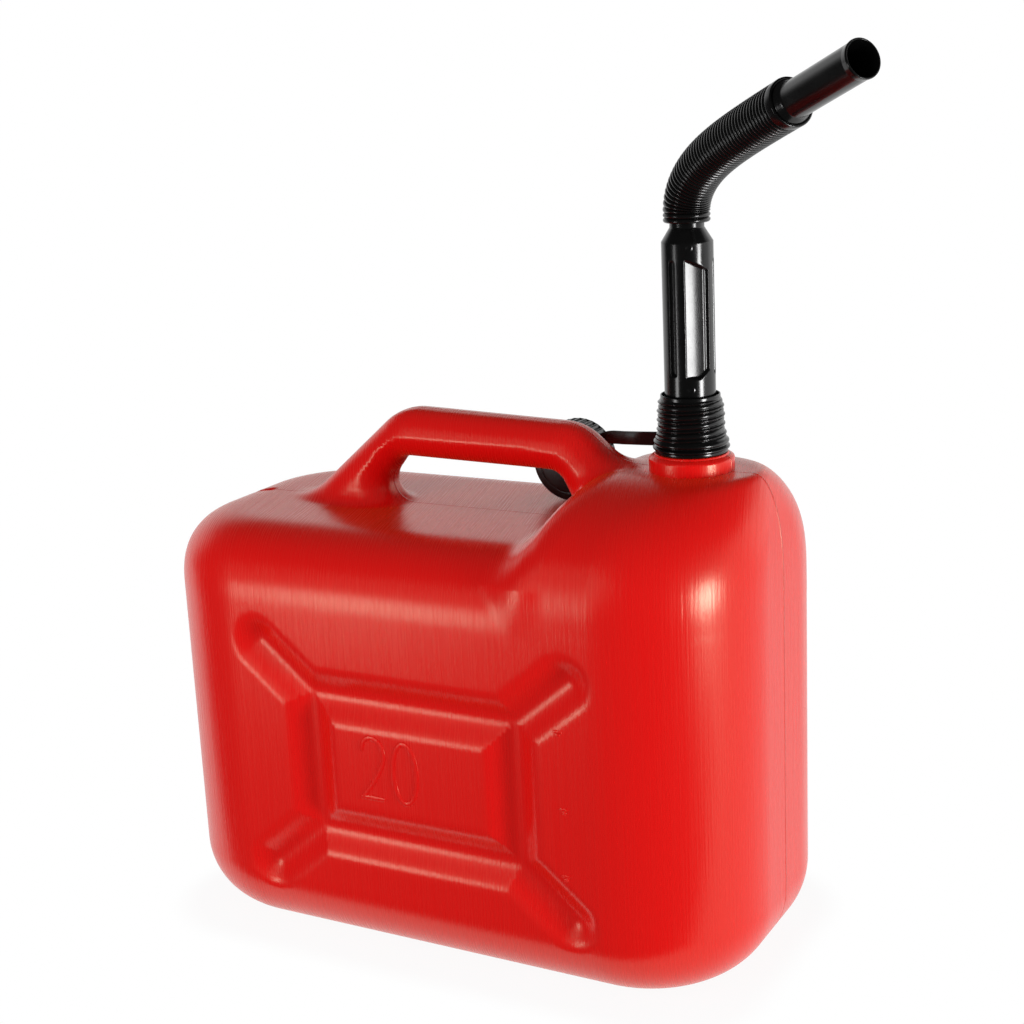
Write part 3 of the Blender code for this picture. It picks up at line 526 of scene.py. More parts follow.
def linear_colour(code: str) -> tuple[float, float, float, float]:
    """An sRGB hex code as linear red, green, blue and full alpha."""
    parts = np.array([int(code[place : place + 2], 16) for place in (0, 2, 4)]) / 255.0
    linear = np.where(parts <= 0.04045, parts / 12.92, ((parts + 0.055) / 1.055) ** 2.4)
    return (float(linear[0]), float(linear[1]), float(linear[2]), 1.0)


def add_node(tree: Tree, kind: str, inputs: dict | None = None, **settings) -> bpy.types.Node:
    """Add a node, give it its settings, and set or link its inputs.

    Args:
        tree: The material's or world's node tree.
        kind: The node's type name.
        inputs: A value, or a socket to link from, for each input's name or number.
        **settings: The node's own properties.

    Returns:
        The new node.
    """
    node = tree.nodes.new(kind)
    for name, value in settings.items():
        setattr(node, name, value)
    for name, value in (inputs or {}).items():
        if isinstance(value, Socket):
            tree.links.new(value, node.inputs[name])
        else:
            node.inputs[name].default_value = value
    return node


def maths(tree: Tree, operation: str, *numbers: Socket | float) -> Socket:
    """The result of one sum on one or two numbers."""
    inputs = dict(enumerate(numbers))
    return add_node(tree, "ShaderNodeMath", inputs, operation=operation).outputs[0]


def mapped(
    tree: Tree,
    value: Socket,
    start: float,
    end: float,
    low: float = 0.0,
    high: float = 1.0,
    smooth: bool = False,
) -> Socket:
    """A number's span turned into another.

    Args:
        tree: The node tree.
        value: The number.
        start: What it becomes at its low limit.
        end: What it becomes at its high limit.
        low: The low limit.
        high: The high limit, which may be the lesser of the two.
        smooth: Whether it leaves and lands gradually.

    Returns:
        The new number.
    """
    kind = "SMOOTHSTEP" if smooth else "LINEAR"
    inputs = {"Value": value, "From Min": low, "From Max": high, "To Min": start, "To Max": end}
    return add_node(tree, "ShaderNodeMapRange", inputs, interpolation_type=kind).outputs[0]


def noise(tree: Tree, place: Socket, scale: float, detail: float) -> Socket:
    """Random grains from 0 to 1, so many to the metre."""
    inputs = {"Vector": place, "Scale": scale, "Detail": detail}
    return add_node(tree, "ShaderNodeTexNoise", inputs).outputs[0]


def bumped(tree: Tree, relief: Socket, depth: float, normal: Socket | None = None) -> Socket:
    """The surface's direction where a relief of a depth in metres lies on it, over any earlier one."""
    inputs = {"Height": relief, "Strength": 1.0, "Distance": depth}
    if normal is not None:
        inputs["Normal"] = normal
    return add_node(tree, "ShaderNodeBump", inputs).outputs[0]


def tinted(tree: Tree, share: Socket, code: str, other_code: str) -> Socket:
    """A colour between two, by a share."""
    inputs = {0: share, 6: linear_colour(code), 7: linear_colour(other_code)}
    return add_node(tree, "ShaderNodeMix", inputs, data_type="RGBA").outputs[2]


def surfaced(tree: Tree, inputs: dict) -> None:
    """Give a material its surface, from the surface shader's inputs."""
    shader = add_node(tree, "ShaderNodeBsdfPrincipled", inputs)
    add_node(tree, "ShaderNodeOutputMaterial", {"Surface": shader.outputs[0]})


def empty_material(name: str) -> tuple[bpy.types.Material, Tree]:
    """A material without nodes, and its tree."""
    material = bpy.data.materials.new(name)
    material.use_nodes = True
    material.node_tree.nodes.clear()
    return material, material.node_tree


@dataclass(frozen=True)
class BlowMouldedPolyethylene:
    """Pigmented high-density polyethylene, blow-moulded from a hanging tube of melt.

    The melt is drawn downwards as it hangs, so its skin keeps fine upright streaks that show where a
    light is mirrored, over the fine orange-peel grain of the blasted mould. The two mould halves
    leave a thin parting line all round the middle.
    """

    name: str = "red_hdpe_blow_moulded"
    colour: str = "DE070B"
    deep_colour: str = "DC0609"
    roughness: float = 0.27
    roughness_spread: float = 0.05
    ior: float = 1.54
    mirror_tint: str = "FFFBDA"
    bloom: float = 0.10
    bloom_roughness: float = 0.45
    bloom_colour: str = "FFA040"
    streak_width: float = 0.0011
    streak_length: float = 0.070
    streak_lean: float = 0.30
    streak_depth: float = 0.00012
    grain_width: float = 0.0016
    grain_depth: float = 0.00005
    seam_width: float = 0.0010
    seam_depth: float = 0.00060

    def material(self) -> bpy.types.Material:
        """The finish as a material."""
        material, tree = empty_material(self.name)
        place = add_node(tree, "ShaderNodeTexCoord").outputs["Object"]
        lean = (1.0, self.streak_lean, 0.0)
        leaned = add_node(tree, "ShaderNodeVectorMath", {0: place, 1: lean}, operation="DOT_PRODUCT")
        apart = add_node(tree, "ShaderNodeSeparateXYZ", {0: place})
        parts = {"X": leaned.outputs["Value"], "Y": apart.outputs["Y"], "Z": apart.outputs["Z"]}
        joined = add_node(tree, "ShaderNodeCombineXYZ", parts)
        stretch = (1.0 / self.streak_width, 1.0 / self.streak_length, 1.0 / self.streak_length)
        drawn = add_node(tree, "ShaderNodeMapping", {"Vector": joined.outputs[0], "Scale": stretch})
        streaks = noise(tree, drawn.outputs[0], 1.0, 3.0)
        grain = noise(tree, place, 1.0 / self.grain_width, 2.0)
        off_seam = maths(tree, "ABSOLUTE", apart.outputs["Y"])
        seam = mapped(tree, off_seam, 1.0, 0.0, high=self.seam_width, smooth=True)
        bump = bumped(tree, streaks, self.streak_depth)
        bump = bumped(tree, grain, self.grain_depth, bump)
        bump = bumped(tree, seam, self.seam_depth, bump)
        spread = self.roughness_spread
        inputs = {
            "Base Color": tinted(tree, streaks, self.colour, self.deep_colour),
            "Roughness": mapped(tree, streaks, self.roughness - spread, self.roughness + spread),
            "IOR": self.ior,
            "Normal": bump,
            "Specular Tint": linear_colour(self.mirror_tint),
            "Sheen Weight": self.bloom,
            "Sheen Roughness": self.bloom_roughness,
            "Sheen Tint": linear_colour(self.bloom_colour),
        }
        surfaced(tree, inputs)
        return material


@dataclass(frozen=True)
class InjectionMouldedPolyethylene:
    """Black polyethylene from a polished steel mould: deep and even, with satin highlights that a
    faint orange peel breaks up."""

    name: str = "black_pe_injection_moulded"
    colour: str = "070707"
    dusty_colour: str = "0D0D0D"
    roughness: float = 0.20
    roughness_spread: float = 0.05
    ior: float = 1.51
    peel_width: float = 0.0022
    peel_depth: float = 0.000012
    patches_per_metre: float = 60.0

    def material(self) -> bpy.types.Material:
        """The finish as a material."""
        material, tree = empty_material(self.name)
        place = add_node(tree, "ShaderNodeTexCoord").outputs["Object"]
        peel = noise(tree, place, 1.0 / self.peel_width, 2.0)
        patches = noise(tree, place, self.patches_per_metre, 3.0)
        spread = self.roughness_spread
        inputs = {
            "Base Color": tinted(tree, patches, self.colour, self.dusty_colour),
            "Roughness": mapped(tree, patches, self.roughness - spread, self.roughness + spread),
            "IOR": self.ior,
            "Normal": bumped(tree, peel, self.peel_depth),
        }
        surfaced(tree, inputs)
        return material


@dataclass(frozen=True)
class DieCutNitrile:
    """Nitrile rubber cut from sheet: matt and slightly dusty, with a fine random grain."""

    name: str = "black_nitrile_die_cut"
    colour: str = "18181A"
    roughness: float = 0.78
    roughness_spread: float = 0.08
    ior: float = 1.52
    grain_width: float = 0.0006
    grain_depth: float = 0.00003

    def material(self) -> bpy.types.Material:
        """The finish as a material."""
        material, tree = empty_material(self.name)
        place = add_node(tree, "ShaderNodeTexCoord").outputs["Object"]
        grain = noise(tree, place, 1.0 / self.grain_width, 4.0)
        spread = self.roughness_spread
        inputs = {
            "Base Color": linear_colour(self.colour),
            "Roughness": mapped(tree, grain, self.roughness - spread, self.roughness + spread),
            "IOR": self.ior,
            "Normal": bumped(tree, grain, self.grain_depth),
        }
        surfaced(tree, inputs)
        return material


class Slot(Enum):
    """The record's material slots."""

    RED = "red_hdpe"
    BLACK = "black_pe"
    RUBBER = "black_rubber"


def dress(piece: Piece, material: bpy.types.Material) -> Piece:
    """Give a piece its finish.

    Args:
        piece: The piece.
        material: Its finish.

    Returns:
        The piece.
    """
    piece.data.materials.clear()
    piece.data.materials.append(material)
    return piece


# The can


@dataclass
class CanSkin:
    """The blow-moulded can: tank, arched shoulder, handle and the pressed pattern in one skin."""

    length: float = 0.406
    width: float = 0.212
    top: float = 0.274
    plan_corner: float = 0.080
    base_round: float = 0.0461
    top_round: float = 0.046
    top_power: float = 2.4

    shoulder_top: float = 0.311
    shoulder_spring: float = 0.236
    shoulder_foot: float = 0.054
    shoulder_swell: float = 1.4
    shoulder_lean: float = 0.036
    side_inset: float = 0.085
    end_inset: float = 0.018
    shoulder_root: float = 0.010
    foot_round: float = 0.022
    foot_fillet: float = 0.014
    foot_fillet_ends: tuple[float, float] = (0.078, 0.110)
    fillet_rate: float = 1.3
    least_fillet: float = 0.0003
    least_slope: float = 7.0
    least_rate: float = 0.002
    closing_limits: tuple[float, float] = (-0.6, 1.2)
    halvings: int = 22

    handle_width: float = 0.037
    handle_edge: float = 0.013
    handle_crown: float = 0.036
    handle_fillet: float = 0.012
    handle_corners: tuple[tuple[float, float, float], ...] = (
        (-0.150, 0.256, 0.0),
        (-0.0539, 0.3382, 0.035),
        (0.073, 0.3342, 0.035),
        (0.122, 0.293, 0.0),
        (0.122, 0.256, 0.0),
        (0.086, 0.256, 0.0),
        (0.060, 0.3044, 0.012),
        (-0.0539, 0.3064, 0.012),
        (-0.067, 0.290, 0.012),
        (-0.056, 0.256, 0.0),
    )

    press_centre: float = 0.1295
    press_depth: float = 0.0075
    press_half_width: float = 0.014
    press_edge: float = 0.0065
    press_reach: tuple[float, float] = (0.080, 0.095)
    frame_half_length: float = 0.0715
    frame_half_height: float = 0.045
    arm_reach: float = 0.036
    arm_rise: float = 0.030

    notch_ends: tuple[tuple[float, float], ...] = ((-0.1950, 0.2590), (-0.1650, 0.2745))
    notch_radius: float = 0.0022
    notch_edge: float = 0.002

    cell: float = 0.0026
    quick_cell: float = 0.0045
    margin_cells: float = 2.5
    easings: int = 2
    slope_step: float = 0.00025
    least_square_slope: float = 0.2
    outline_steps: int = 14
    _handle: np.ndarray = field(default=None, repr=False)

    def __post_init__(self) -> None:
        """Work out the handle's outline once."""
        self._handle = rounded(list(self.handle_corners), steps=self.outline_steps)

    def tank(self, x: np.ndarray, y: np.ndarray, z: np.ndarray) -> np.ndarray:
        """Distance to the tank: a rounded rectangle in plan whose base and top edges are rounded.

        With d the distance to the plan, the base edge is the distance to a corner of radius R in the
        plane of d and z, hypot(max(d + R, 0), max(R - z, 0)) - R. The top edge is the same with a
        power above 2, so that it leaves the walls gradually.
        """
        in_x = np.abs(x) - 0.5 * self.length + self.plan_corner
        in_y = np.abs(y) - 0.5 * self.width + self.plan_corner
        plan = beyond_corner(in_x, in_y) - self.plan_corner
        above = z - self.top + self.top_round
        below = self.base_round - z
        upper = beyond_corner(plan + self.top_round, above, self.top_power) - self.top_round
        lower = beyond_corner(plan + self.base_round, below) - self.base_round
        return np.maximum(upper, lower)

    def shoulder_plan(self, closing: np.ndarray, x: np.ndarray, y: np.ndarray) -> np.ndarray:
        """Distance in plan to the shoulder's outline at a share of its way from spring to crest.

        The outline is a rounded rectangle that runs on past the foot. As it closes by c, its sides
        and its end come in by a length times c, and its corners tighten to fit its width.
        """
        half_width = 0.5 * self.width - self.side_inset * closing
        x_high = 0.5 * self.length - self.end_inset * closing
        corner = merged(self.plan_corner, half_width, 0.5 * self.width - self.plan_corner)
        return beyond_corner(x - x_high + corner, np.abs(y) - half_width + corner) - corner

    def shoulder(self, x: np.ndarray, y: np.ndarray, z: np.ndarray) -> np.ndarray:
        """Distance to the shoulder: an arch that is a quarter ellipse over its outlines in plan.

        The share c of the outline that passes a point is found by halving. The arch is where
        hypot(1 - c, (rise / full rise)^n) is 1, so that it leaves the wall gradually, and dividing by
        the slope of that turns it into a length. A plane that leans back with its rise cuts the arch
        off at the foot, with a round edge.
        """
        low = np.full(np.broadcast_shapes(np.shape(x), np.shape(y)), self.closing_limits[0])
        high = np.full_like(low, self.closing_limits[1])
        for _ in range(self.halvings):
            middle = 0.5 * (low + high)
            beyond = self.shoulder_plan(middle, x, y) > 0.0
            high = np.where(beyond, middle, high)
            low = np.where(beyond, low, middle)
        closing = 0.5 * (low + high)
        step = self.least_rate
        rate = self.shoulder_plan(closing + step, x, y) - self.shoulder_plan(closing - step, x, y)
        rate = np.maximum(rate / (2.0 * step), self.least_rate)
        full_rise = self.shoulder_top - self.shoulder_spring
        open_share = np.maximum(1.0 - closing, 0.0)
        rise = (np.maximum(z - self.shoulder_spring, 0.0) / full_rise) ** self.shoulder_swell
        arch = np.hypot(open_share, rise)
        safe = np.maximum(arch, TINY)
        steepness = (open_share / safe / rate) ** 2 + (rise / safe / full_rise) ** 2
        slope = np.sqrt(steepness + self.least_slope**2)
        whole = np.maximum((arch - 1.0) / slope, self.shoulder_spring - self.shoulder_root - z)
        tilt = math.hypot(full_rise, self.shoulder_lean)
        left = (self.shoulder_foot - x) * full_rise / tilt
        foot = left + (z - self.shoulder_spring) * self.shoulder_lean / tilt
        return -merged(-whole, -foot, self.foot_round)

    def handle(self, x: np.ndarray, y: np.ndarray, z: np.ndarray) -> np.ndarray:
        """Distance to the handle: a flat outline in X and Z given a width along Y and rounded edges.

        With d the distance to the outline and e that to the side face, both moved in by the edge's
        radius R, it is hypot(max(d, 0), max(e, 0)) - R outside and the larger of the two inside. The
        outline draws in by y^2 over twice a radius away from the middle, which crowns the handle.
        """
        crown = y * y / (2.0 * self.handle_crown)
        flat = outline_distance(self._handle, x, z) + self.handle_edge + crown
        side = np.abs(y) - 0.5 * self.handle_width + self.handle_edge
        return beyond_corner(flat, side) - self.handle_edge

    def pressed(self, x: np.ndarray, z: np.ndarray) -> np.ndarray:
        """Depth of the pattern pressed into both broad faces: a frame with an arm at each corner.

        With d the distance to the pattern's middle line, the depth is the half width less d, so that
        the sides slope at 45 degrees, held between 0 and the full depth with rounded edges.
        """
        u = np.abs(x)
        v = np.abs(z - self.press_centre)
        in_u = u - self.frame_half_length
        in_v = v - self.frame_half_height
        frame = beyond_corner(in_u, in_v)
        along = (in_u * self.arm_reach + in_v * self.arm_rise) / (self.arm_reach**2 + self.arm_rise**2)
        along = np.clip(along, 0.0, 1.0)
        arm = np.hypot(in_u - along * self.arm_reach, in_v - along * self.arm_rise)
        line = np.minimum(np.abs(frame), arm)
        depth = merged(self.press_half_width - line, self.press_depth, self.press_edge)
        return -merged(-depth, 0.0, self.press_edge)

    def distance(self, x: np.ndarray, y: np.ndarray, z: np.ndarray) -> np.ndarray:
        """Distance to the whole skin, for points whose coordinates broadcast together.

        The fillet at the shoulder's foot grows with how far the tank's top edge has drawn in, so that
        it is nothing on the walls, and it fades out towards the neck.
        """
        above = np.clip(z - self.top + self.top_round, 0.0, self.top_round)
        recess = self.top_round - np.sqrt(self.top_round**2 - above**2)
        near_foot = 1.0 - smooth_step(*self.foot_fillet_ends, x)
        fillet = self.least_fillet + near_foot * np.minimum(self.foot_fillet, self.fillet_rate * recess)
        body = merged(self.tank(x, y, z), self.shoulder(x, y, z), fillet)
        body = merged(body, self.handle(x, y, z), self.handle_fillet)
        body = body + smooth_step(*self.press_reach, np.abs(y)) * self.pressed(x, z)
        return -merged(-body, self.notch(x, y, z), self.notch_edge)

    def notch(self, x: np.ndarray, y: np.ndarray, z: np.ndarray) -> np.ndarray:
        """Distance to the slit that the mould's pinch leaves in the rear top edge, a slim capsule."""
        (x0, z0), (x1, z1) = self.notch_ends
        dx = x1 - x0
        dz = z1 - z0
        along = np.clip(((x - x0) * dx + (z - z0) * dz) / (dx * dx + dz * dz), 0.0, 1.0)
        return np.sqrt((x - x0 - along * dx) ** 2 + y * y + (z - z0 - along * dz) ** 2) - self.notch_radius

    def slope(self, points: np.ndarray) -> Shape:
        """The field and its slope at points, by small steps along each axis.

        Args:
            points: Places, shape (n, 3).

        Returns:
            The field, shape (n,), and its slope, shape (n, 3).
        """
        step = self.slope_step
        slope = np.empty_like(points)
        for axis in range(3):
            ahead, behind = points.copy(), points.copy()
            ahead[:, axis] += step
            behind[:, axis] -= step
            slope[:, axis] = (self.distance(*ahead.T) - self.distance(*behind.T)) / (2.0 * step)
        return self.distance(*points.T), slope

    def build(self) -> Piece:
        """The skin as a piece.

        The field is worked out on a grid and its skin netted. Each point is then eased along the skin
        and moved back onto it, by its field over its slope, and the slope becomes the point's normal.

        Returns:
            The piece, which stands for the can's body.
        """
        cell = self.cell
        margin = self.margin_cells * cell
        crest = max(height for _, height, _ in self.handle_corners)
        low = np.array((-0.5 * self.length, -0.5 * self.width, 0.0)) - margin
        high = np.array((0.5 * self.length, 0.5 * self.width, crest)) + margin
        counts = np.ceil((high - low) / cell).astype(int) + 1
        axes = [low[axis] + cell * np.arange(counts[axis]) for axis in range(3)]
        values = self.distance(axes[0][:, None, None], axes[1][None, :, None], axes[2][None, None, :])
        points, faces = skin_of(values, low, cell)
        for _ in range(self.easings):
            points = relaxed(points, faces)
            here, slope = self.slope(points)
            square = np.maximum((slope**2).sum(axis=1), self.least_square_slope)
            points = points - slope * (here / square)[:, None]
        _, slope = self.slope(points)
        normals = slope / np.linalg.norm(slope, axis=1, keepdims=True)
        piece = put_mesh("can_skin", points, faces)
        # put_mesh sorts the points, so each normal is found again by its point's place
        order = np.unique(np.round(points / WELD).astype(np.int64), axis=0, return_index=True)[1]
        piece.data.normals_split_custom_set_from_vertices(normals[order].astype(np.float32))
        return piece


@dataclass
class Neck:
    """The red neck: a ledged collar and the threaded neck inside the screw collar."""

    x: float
    rim: float
    ledge_height: float
    crest: float
    root_radius: float = 0.0160
    bore_radius: float = 0.0130
    collar_radius: float = 0.0256
    sunk: float = 0.013
    pitch: float = HELIX_PITCH
    turns: float = 2.0
    bead: float = 0.0012
    bead_spread: float = 1.4
    fade_turns: float = 0.35
    standoff: float = 0.0040
    steps: int = 144

    def thread(self, radius: np.ndarray, height: np.ndarray, angle: np.ndarray) -> np.ndarray:
        """What the thread adds to the radius.

        It is bead * (cos(pi * distance / half width) + 1) / 2, where the distance is the height above
        the helix, and it fades in and out over a third of a turn.
        """
        turn = angle / math.tau
        along = (height - self.ledge_height - self.standoff) / self.pitch - turn
        lap = np.round(along)
        off = np.abs(along - lap) * self.pitch
        progress = lap + turn
        fade = smooth_step(0.0, self.fade_turns, np.minimum(progress, self.turns - progress))
        bead = 0.5 * (np.cos(math.pi * np.minimum(off / (self.bead_spread * self.bead), 1.0)) + 1.0)
        on_wall = (np.abs(radius - self.root_radius) < TINY) & (height > self.ledge_height + 0.001)
        return np.where(on_wall, self.bead * bead * fade, 0.0)

    def build(self) -> Piece:
        """The collar and neck, one turned outline, with the thread raised on it."""
        wall = self.collar_radius
        foot = self.crest - self.sunk
        ledge = self.ledge_height
        outline = rounded(
            [
                (self.bore_radius, foot, 0.0),
                (wall, foot, 0.0),
                (wall, ledge - 0.0029, 0.0016),
                (wall - 0.0024, ledge - 0.0013, 0.0006),
                (wall - 0.0032, ledge - 0.0013, 0.0003),
                (wall - 0.0036, ledge, 0.0006),
                (self.root_radius, ledge, 0.0004),
                (self.root_radius, self.rim, 0.0010),
                (self.bore_radius, self.rim, 0.0010),
            ],
            steps=5,
        )
        matrix = moved_to((self.x, 0.0, 0.0))
        return turned_piece("neck_and_collar", finer(outline, 0.0005), self.steps, matrix, self.thread)


@dataclass
class FaceMarks:
    """Raised marks on the broad face: the plain number of litres and three level marks.

    Each level mark is two lines, given as (drop, share of the length). The photographed words and
    signs are left off.
    """

    face: float
    stroke: float = 0.0017
    two: tuple[tuple[float, float], ...] = (
        (-0.0338, 0.1425),
        (-0.0325, 0.1482),
        (-0.0292, 0.1515),
        (-0.0250, 0.1520),
        (-0.0206, 0.1495),
        (-0.0182, 0.1440),
        (-0.0182, 0.1385),
        (-0.0208, 0.1318),
        (-0.0262, 0.1228),
        (-0.0338, 0.1128),
        (-0.0334, 0.1124),
        (-0.0172, 0.1124),
    )
    nought_centre: tuple[float, float] = (-0.0031, 0.1318)
    nought_half: tuple[float, float] = (0.0085, 0.0196)
    marks: tuple[tuple[float, float], ...] = ((0.1035, 0.1758), (0.1059, 0.1275), (0.1054, 0.0847))
    mark_length: float = 0.0062
    mark_stroke: float = 0.6
    mark_tilt: float = 0.02
    mark_lines: tuple[tuple[float, float], ...] = ((0.0, 1.0), (0.0022, 0.55))
    rise: float = 0.35

    def bead(self, line: np.ndarray, closed: bool, radius: float) -> Shape:
        """A low half-round bead along a line on the face.

        The section is an ellipse as wide as two radii and a third as high, centred on the face.

        Args:
            line: The line's (x, z) points, shape (n, 2).
            closed: Whether it closes on itself.
            radius: Half the bead's width.

        Returns:
            Points and faces.
        """
        before = np.roll(line, 1, axis=0)
        after = np.roll(line, -1, axis=0)
        if not closed:
            before[0] = line[0]
            after[-1] = line[-1]
        ahead = after - before
        ahead /= np.linalg.norm(ahead, axis=1, keepdims=True)
        zero = np.zeros(len(line))
        places = np.stack((line[:, 0], zero + self.face, line[:, 1]), axis=1)
        across = np.stack((-ahead[:, 1], zero, ahead[:, 0]), axis=1)
        above = np.array([[0.0, -1.0, 0.0]])
        angle = turn_angles(12)
        sections = np.stack((radius * np.cos(angle), self.rise * radius * np.sin(angle)), axis=1)[None]
        if not closed:
            ends = np.minimum(np.arange(len(line)), np.arange(len(line))[::-1]) / 3.0
            sections = sections * np.sqrt(np.clip(0.15 + ends, 0.0, 1.0))[:, None, None]
        return carried(places, across, above, sections, closed)

    def build(self) -> Piece:
        """The number and the level marks in one piece."""
        two = self.smooth_line(np.array(self.two), 8)
        angle = turn_angles(72)
        round_line = np.stack((np.cos(angle), np.sin(angle)), axis=1)
        nought = np.array(self.nought_centre) + np.array(self.nought_half) * round_line
        shapes = [self.bead(two, False, self.stroke), self.bead(nought, True, self.stroke)]
        for x, z in self.marks:
            for drop, share in self.mark_lines:
                ends = np.linspace(-0.5, 0.5, 14) * self.mark_length * share
                line = np.stack((x + ends, z - drop - self.mark_tilt * ends), axis=1)
                shapes.append(self.bead(line, False, self.mark_stroke * self.stroke))
        return put_mesh("face_marks", *together(shapes), outward=False)

    @staticmethod
    def smooth_line(points: np.ndarray, steps: int) -> np.ndarray:
        """A line through points, each span a cubic that leaves along its neighbours' chord."""
        padded = np.concatenate((points[:1], points, points[-1:]))
        before, here, after, beyond = padded[:-3], padded[1:-2], padded[2:-1], padded[3:]
        t = (np.arange(steps) / steps)[None, :, None]
        spans = 0.5 * (
            2.0 * here[:, None]
            + (after - before)[:, None] * t
            + (2.0 * before - 5.0 * here + 4.0 * after - beyond)[:, None] * t**2
            + (3.0 * here - before - 3.0 * after + beyond)[:, None] * t**3
        )
        return np.concatenate((spans.reshape(-1, points.shape[1]), points[-1:]))


# The spout


@dataclass
class ScrewCollar:
    """The thin black screw collar: a lip, a flared skirt, ridges of its thread and a cupped rim.

    The skirt is a list of (radius, height above the foot, rounding), from the foot up. The starts
    and lengths of the ridges' parts are shares of the pitch.
    """

    x: float
    foot: float
    top: float
    skirt: tuple[tuple[float, float, float], ...] = (
        (0.0229, 0.0000, 0.0003),
        (0.0229, 0.0010, 0.0004),
        (0.0208, 0.0022, 0.0006),
        (0.0210, 0.0028, 0.0004),
        (0.0225, 0.0032, 0.0008),
        (0.0225, 0.0046, 0.0014),
        (0.0199, 0.0072, 0.0016),
        (0.0189, 0.0120, 0.0040),
        (0.0187, 0.0220, 0.0040),
        (0.0180, 0.0275, 0.0020),
        (0.0178, 0.0295, 0.0008),
    )
    bore: float = 0.0178
    tube_radius: float = 0.01515
    cup_depth: float = 0.0034
    seat_depth: float = 0.0122
    pitch: float = HELIX_PITCH
    phase: float = 0.20
    turns_low: float = 0.3306
    turns_high: float = 0.3540
    bead: float = 0.0015
    bead_start: float = 0.03
    bead_length: float = 0.37
    bead_power: float = 0.6
    second_bead: float = 0.0009
    second_start: float = 0.42
    second_length: float = 0.56
    second_power: float = 0.5
    undercut: float = 0.0005
    undercut_length: float = 0.06
    fade_out: float = 0.0006
    fade_in: float = 0.0012
    steps: int = 192

    def ridges(self, _radius: np.ndarray, height: np.ndarray, angle: np.ndarray) -> np.ndarray:
        """What the ridges add to the radius, up the outside from the foot to the rim.

        With t the share of a pitch above the helix at that angle, the wall swells to a bead over the
        first part, dips, swells less over the rest, and is undercut where the next lap starts.
        """
        t = np.mod((height - self.turns_low) / self.pitch - angle / math.tau - self.phase, 1.0)
        share = np.clip((t - self.bead_start) / self.bead_length, 0.0, 1.0)
        bead = self.bead * np.sin(math.pi * share) ** self.bead_power
        share = np.clip((t - self.second_start) / self.second_length, 0.0, 1.0)
        second = self.second_bead * np.sin(math.pi * share) ** self.second_power
        near_lap = 1.0 - smooth_step(0.0, self.undercut_length, np.minimum(t, 1.0 - t))
        undercut = -self.undercut * near_lap
        fade = smooth_step(self.turns_low - self.fade_out, self.turns_low + self.fade_in, height)
        above = smooth_step(self.turns_high - self.fade_in, self.turns_high + self.fade_out, height)
        fade = fade * (1.0 - above)
        outside = np.arange(len(height))[:, None] < np.argmax(height)
        return np.where(outside, (bead + second + undercut) * fade, 0.0)

    def build(self) -> Piece:
        """The collar as one closed surface."""
        top = self.top
        inner = self.tube_radius + CLEARANCE
        corners = [(self.bore, self.foot, 0.0)]
        corners += [(radius, self.foot + height, rounding) for radius, height, rounding in self.skirt]
        corners += [
            (self.bore, top - 0.0006, 0.0006),
            (self.bore - 0.0001, top, 0.0002),
            (self.bore - 0.0007, top, 0.0002),
            (self.bore - 0.0012, top - self.cup_depth, 0.0003),
            (inner, top - self.cup_depth, 0.0),
            (inner, top - self.seat_depth, 0.0),
            (self.bore, top - self.seat_depth, 0.0),
        ]
        outline = finer(rounded(corners, steps=4), 0.00026)
        matrix = moved_to((self.x, 0.0, 0.0))
        return turned_piece("screw_collar_moulded", outline, self.steps, matrix, self.ridges)


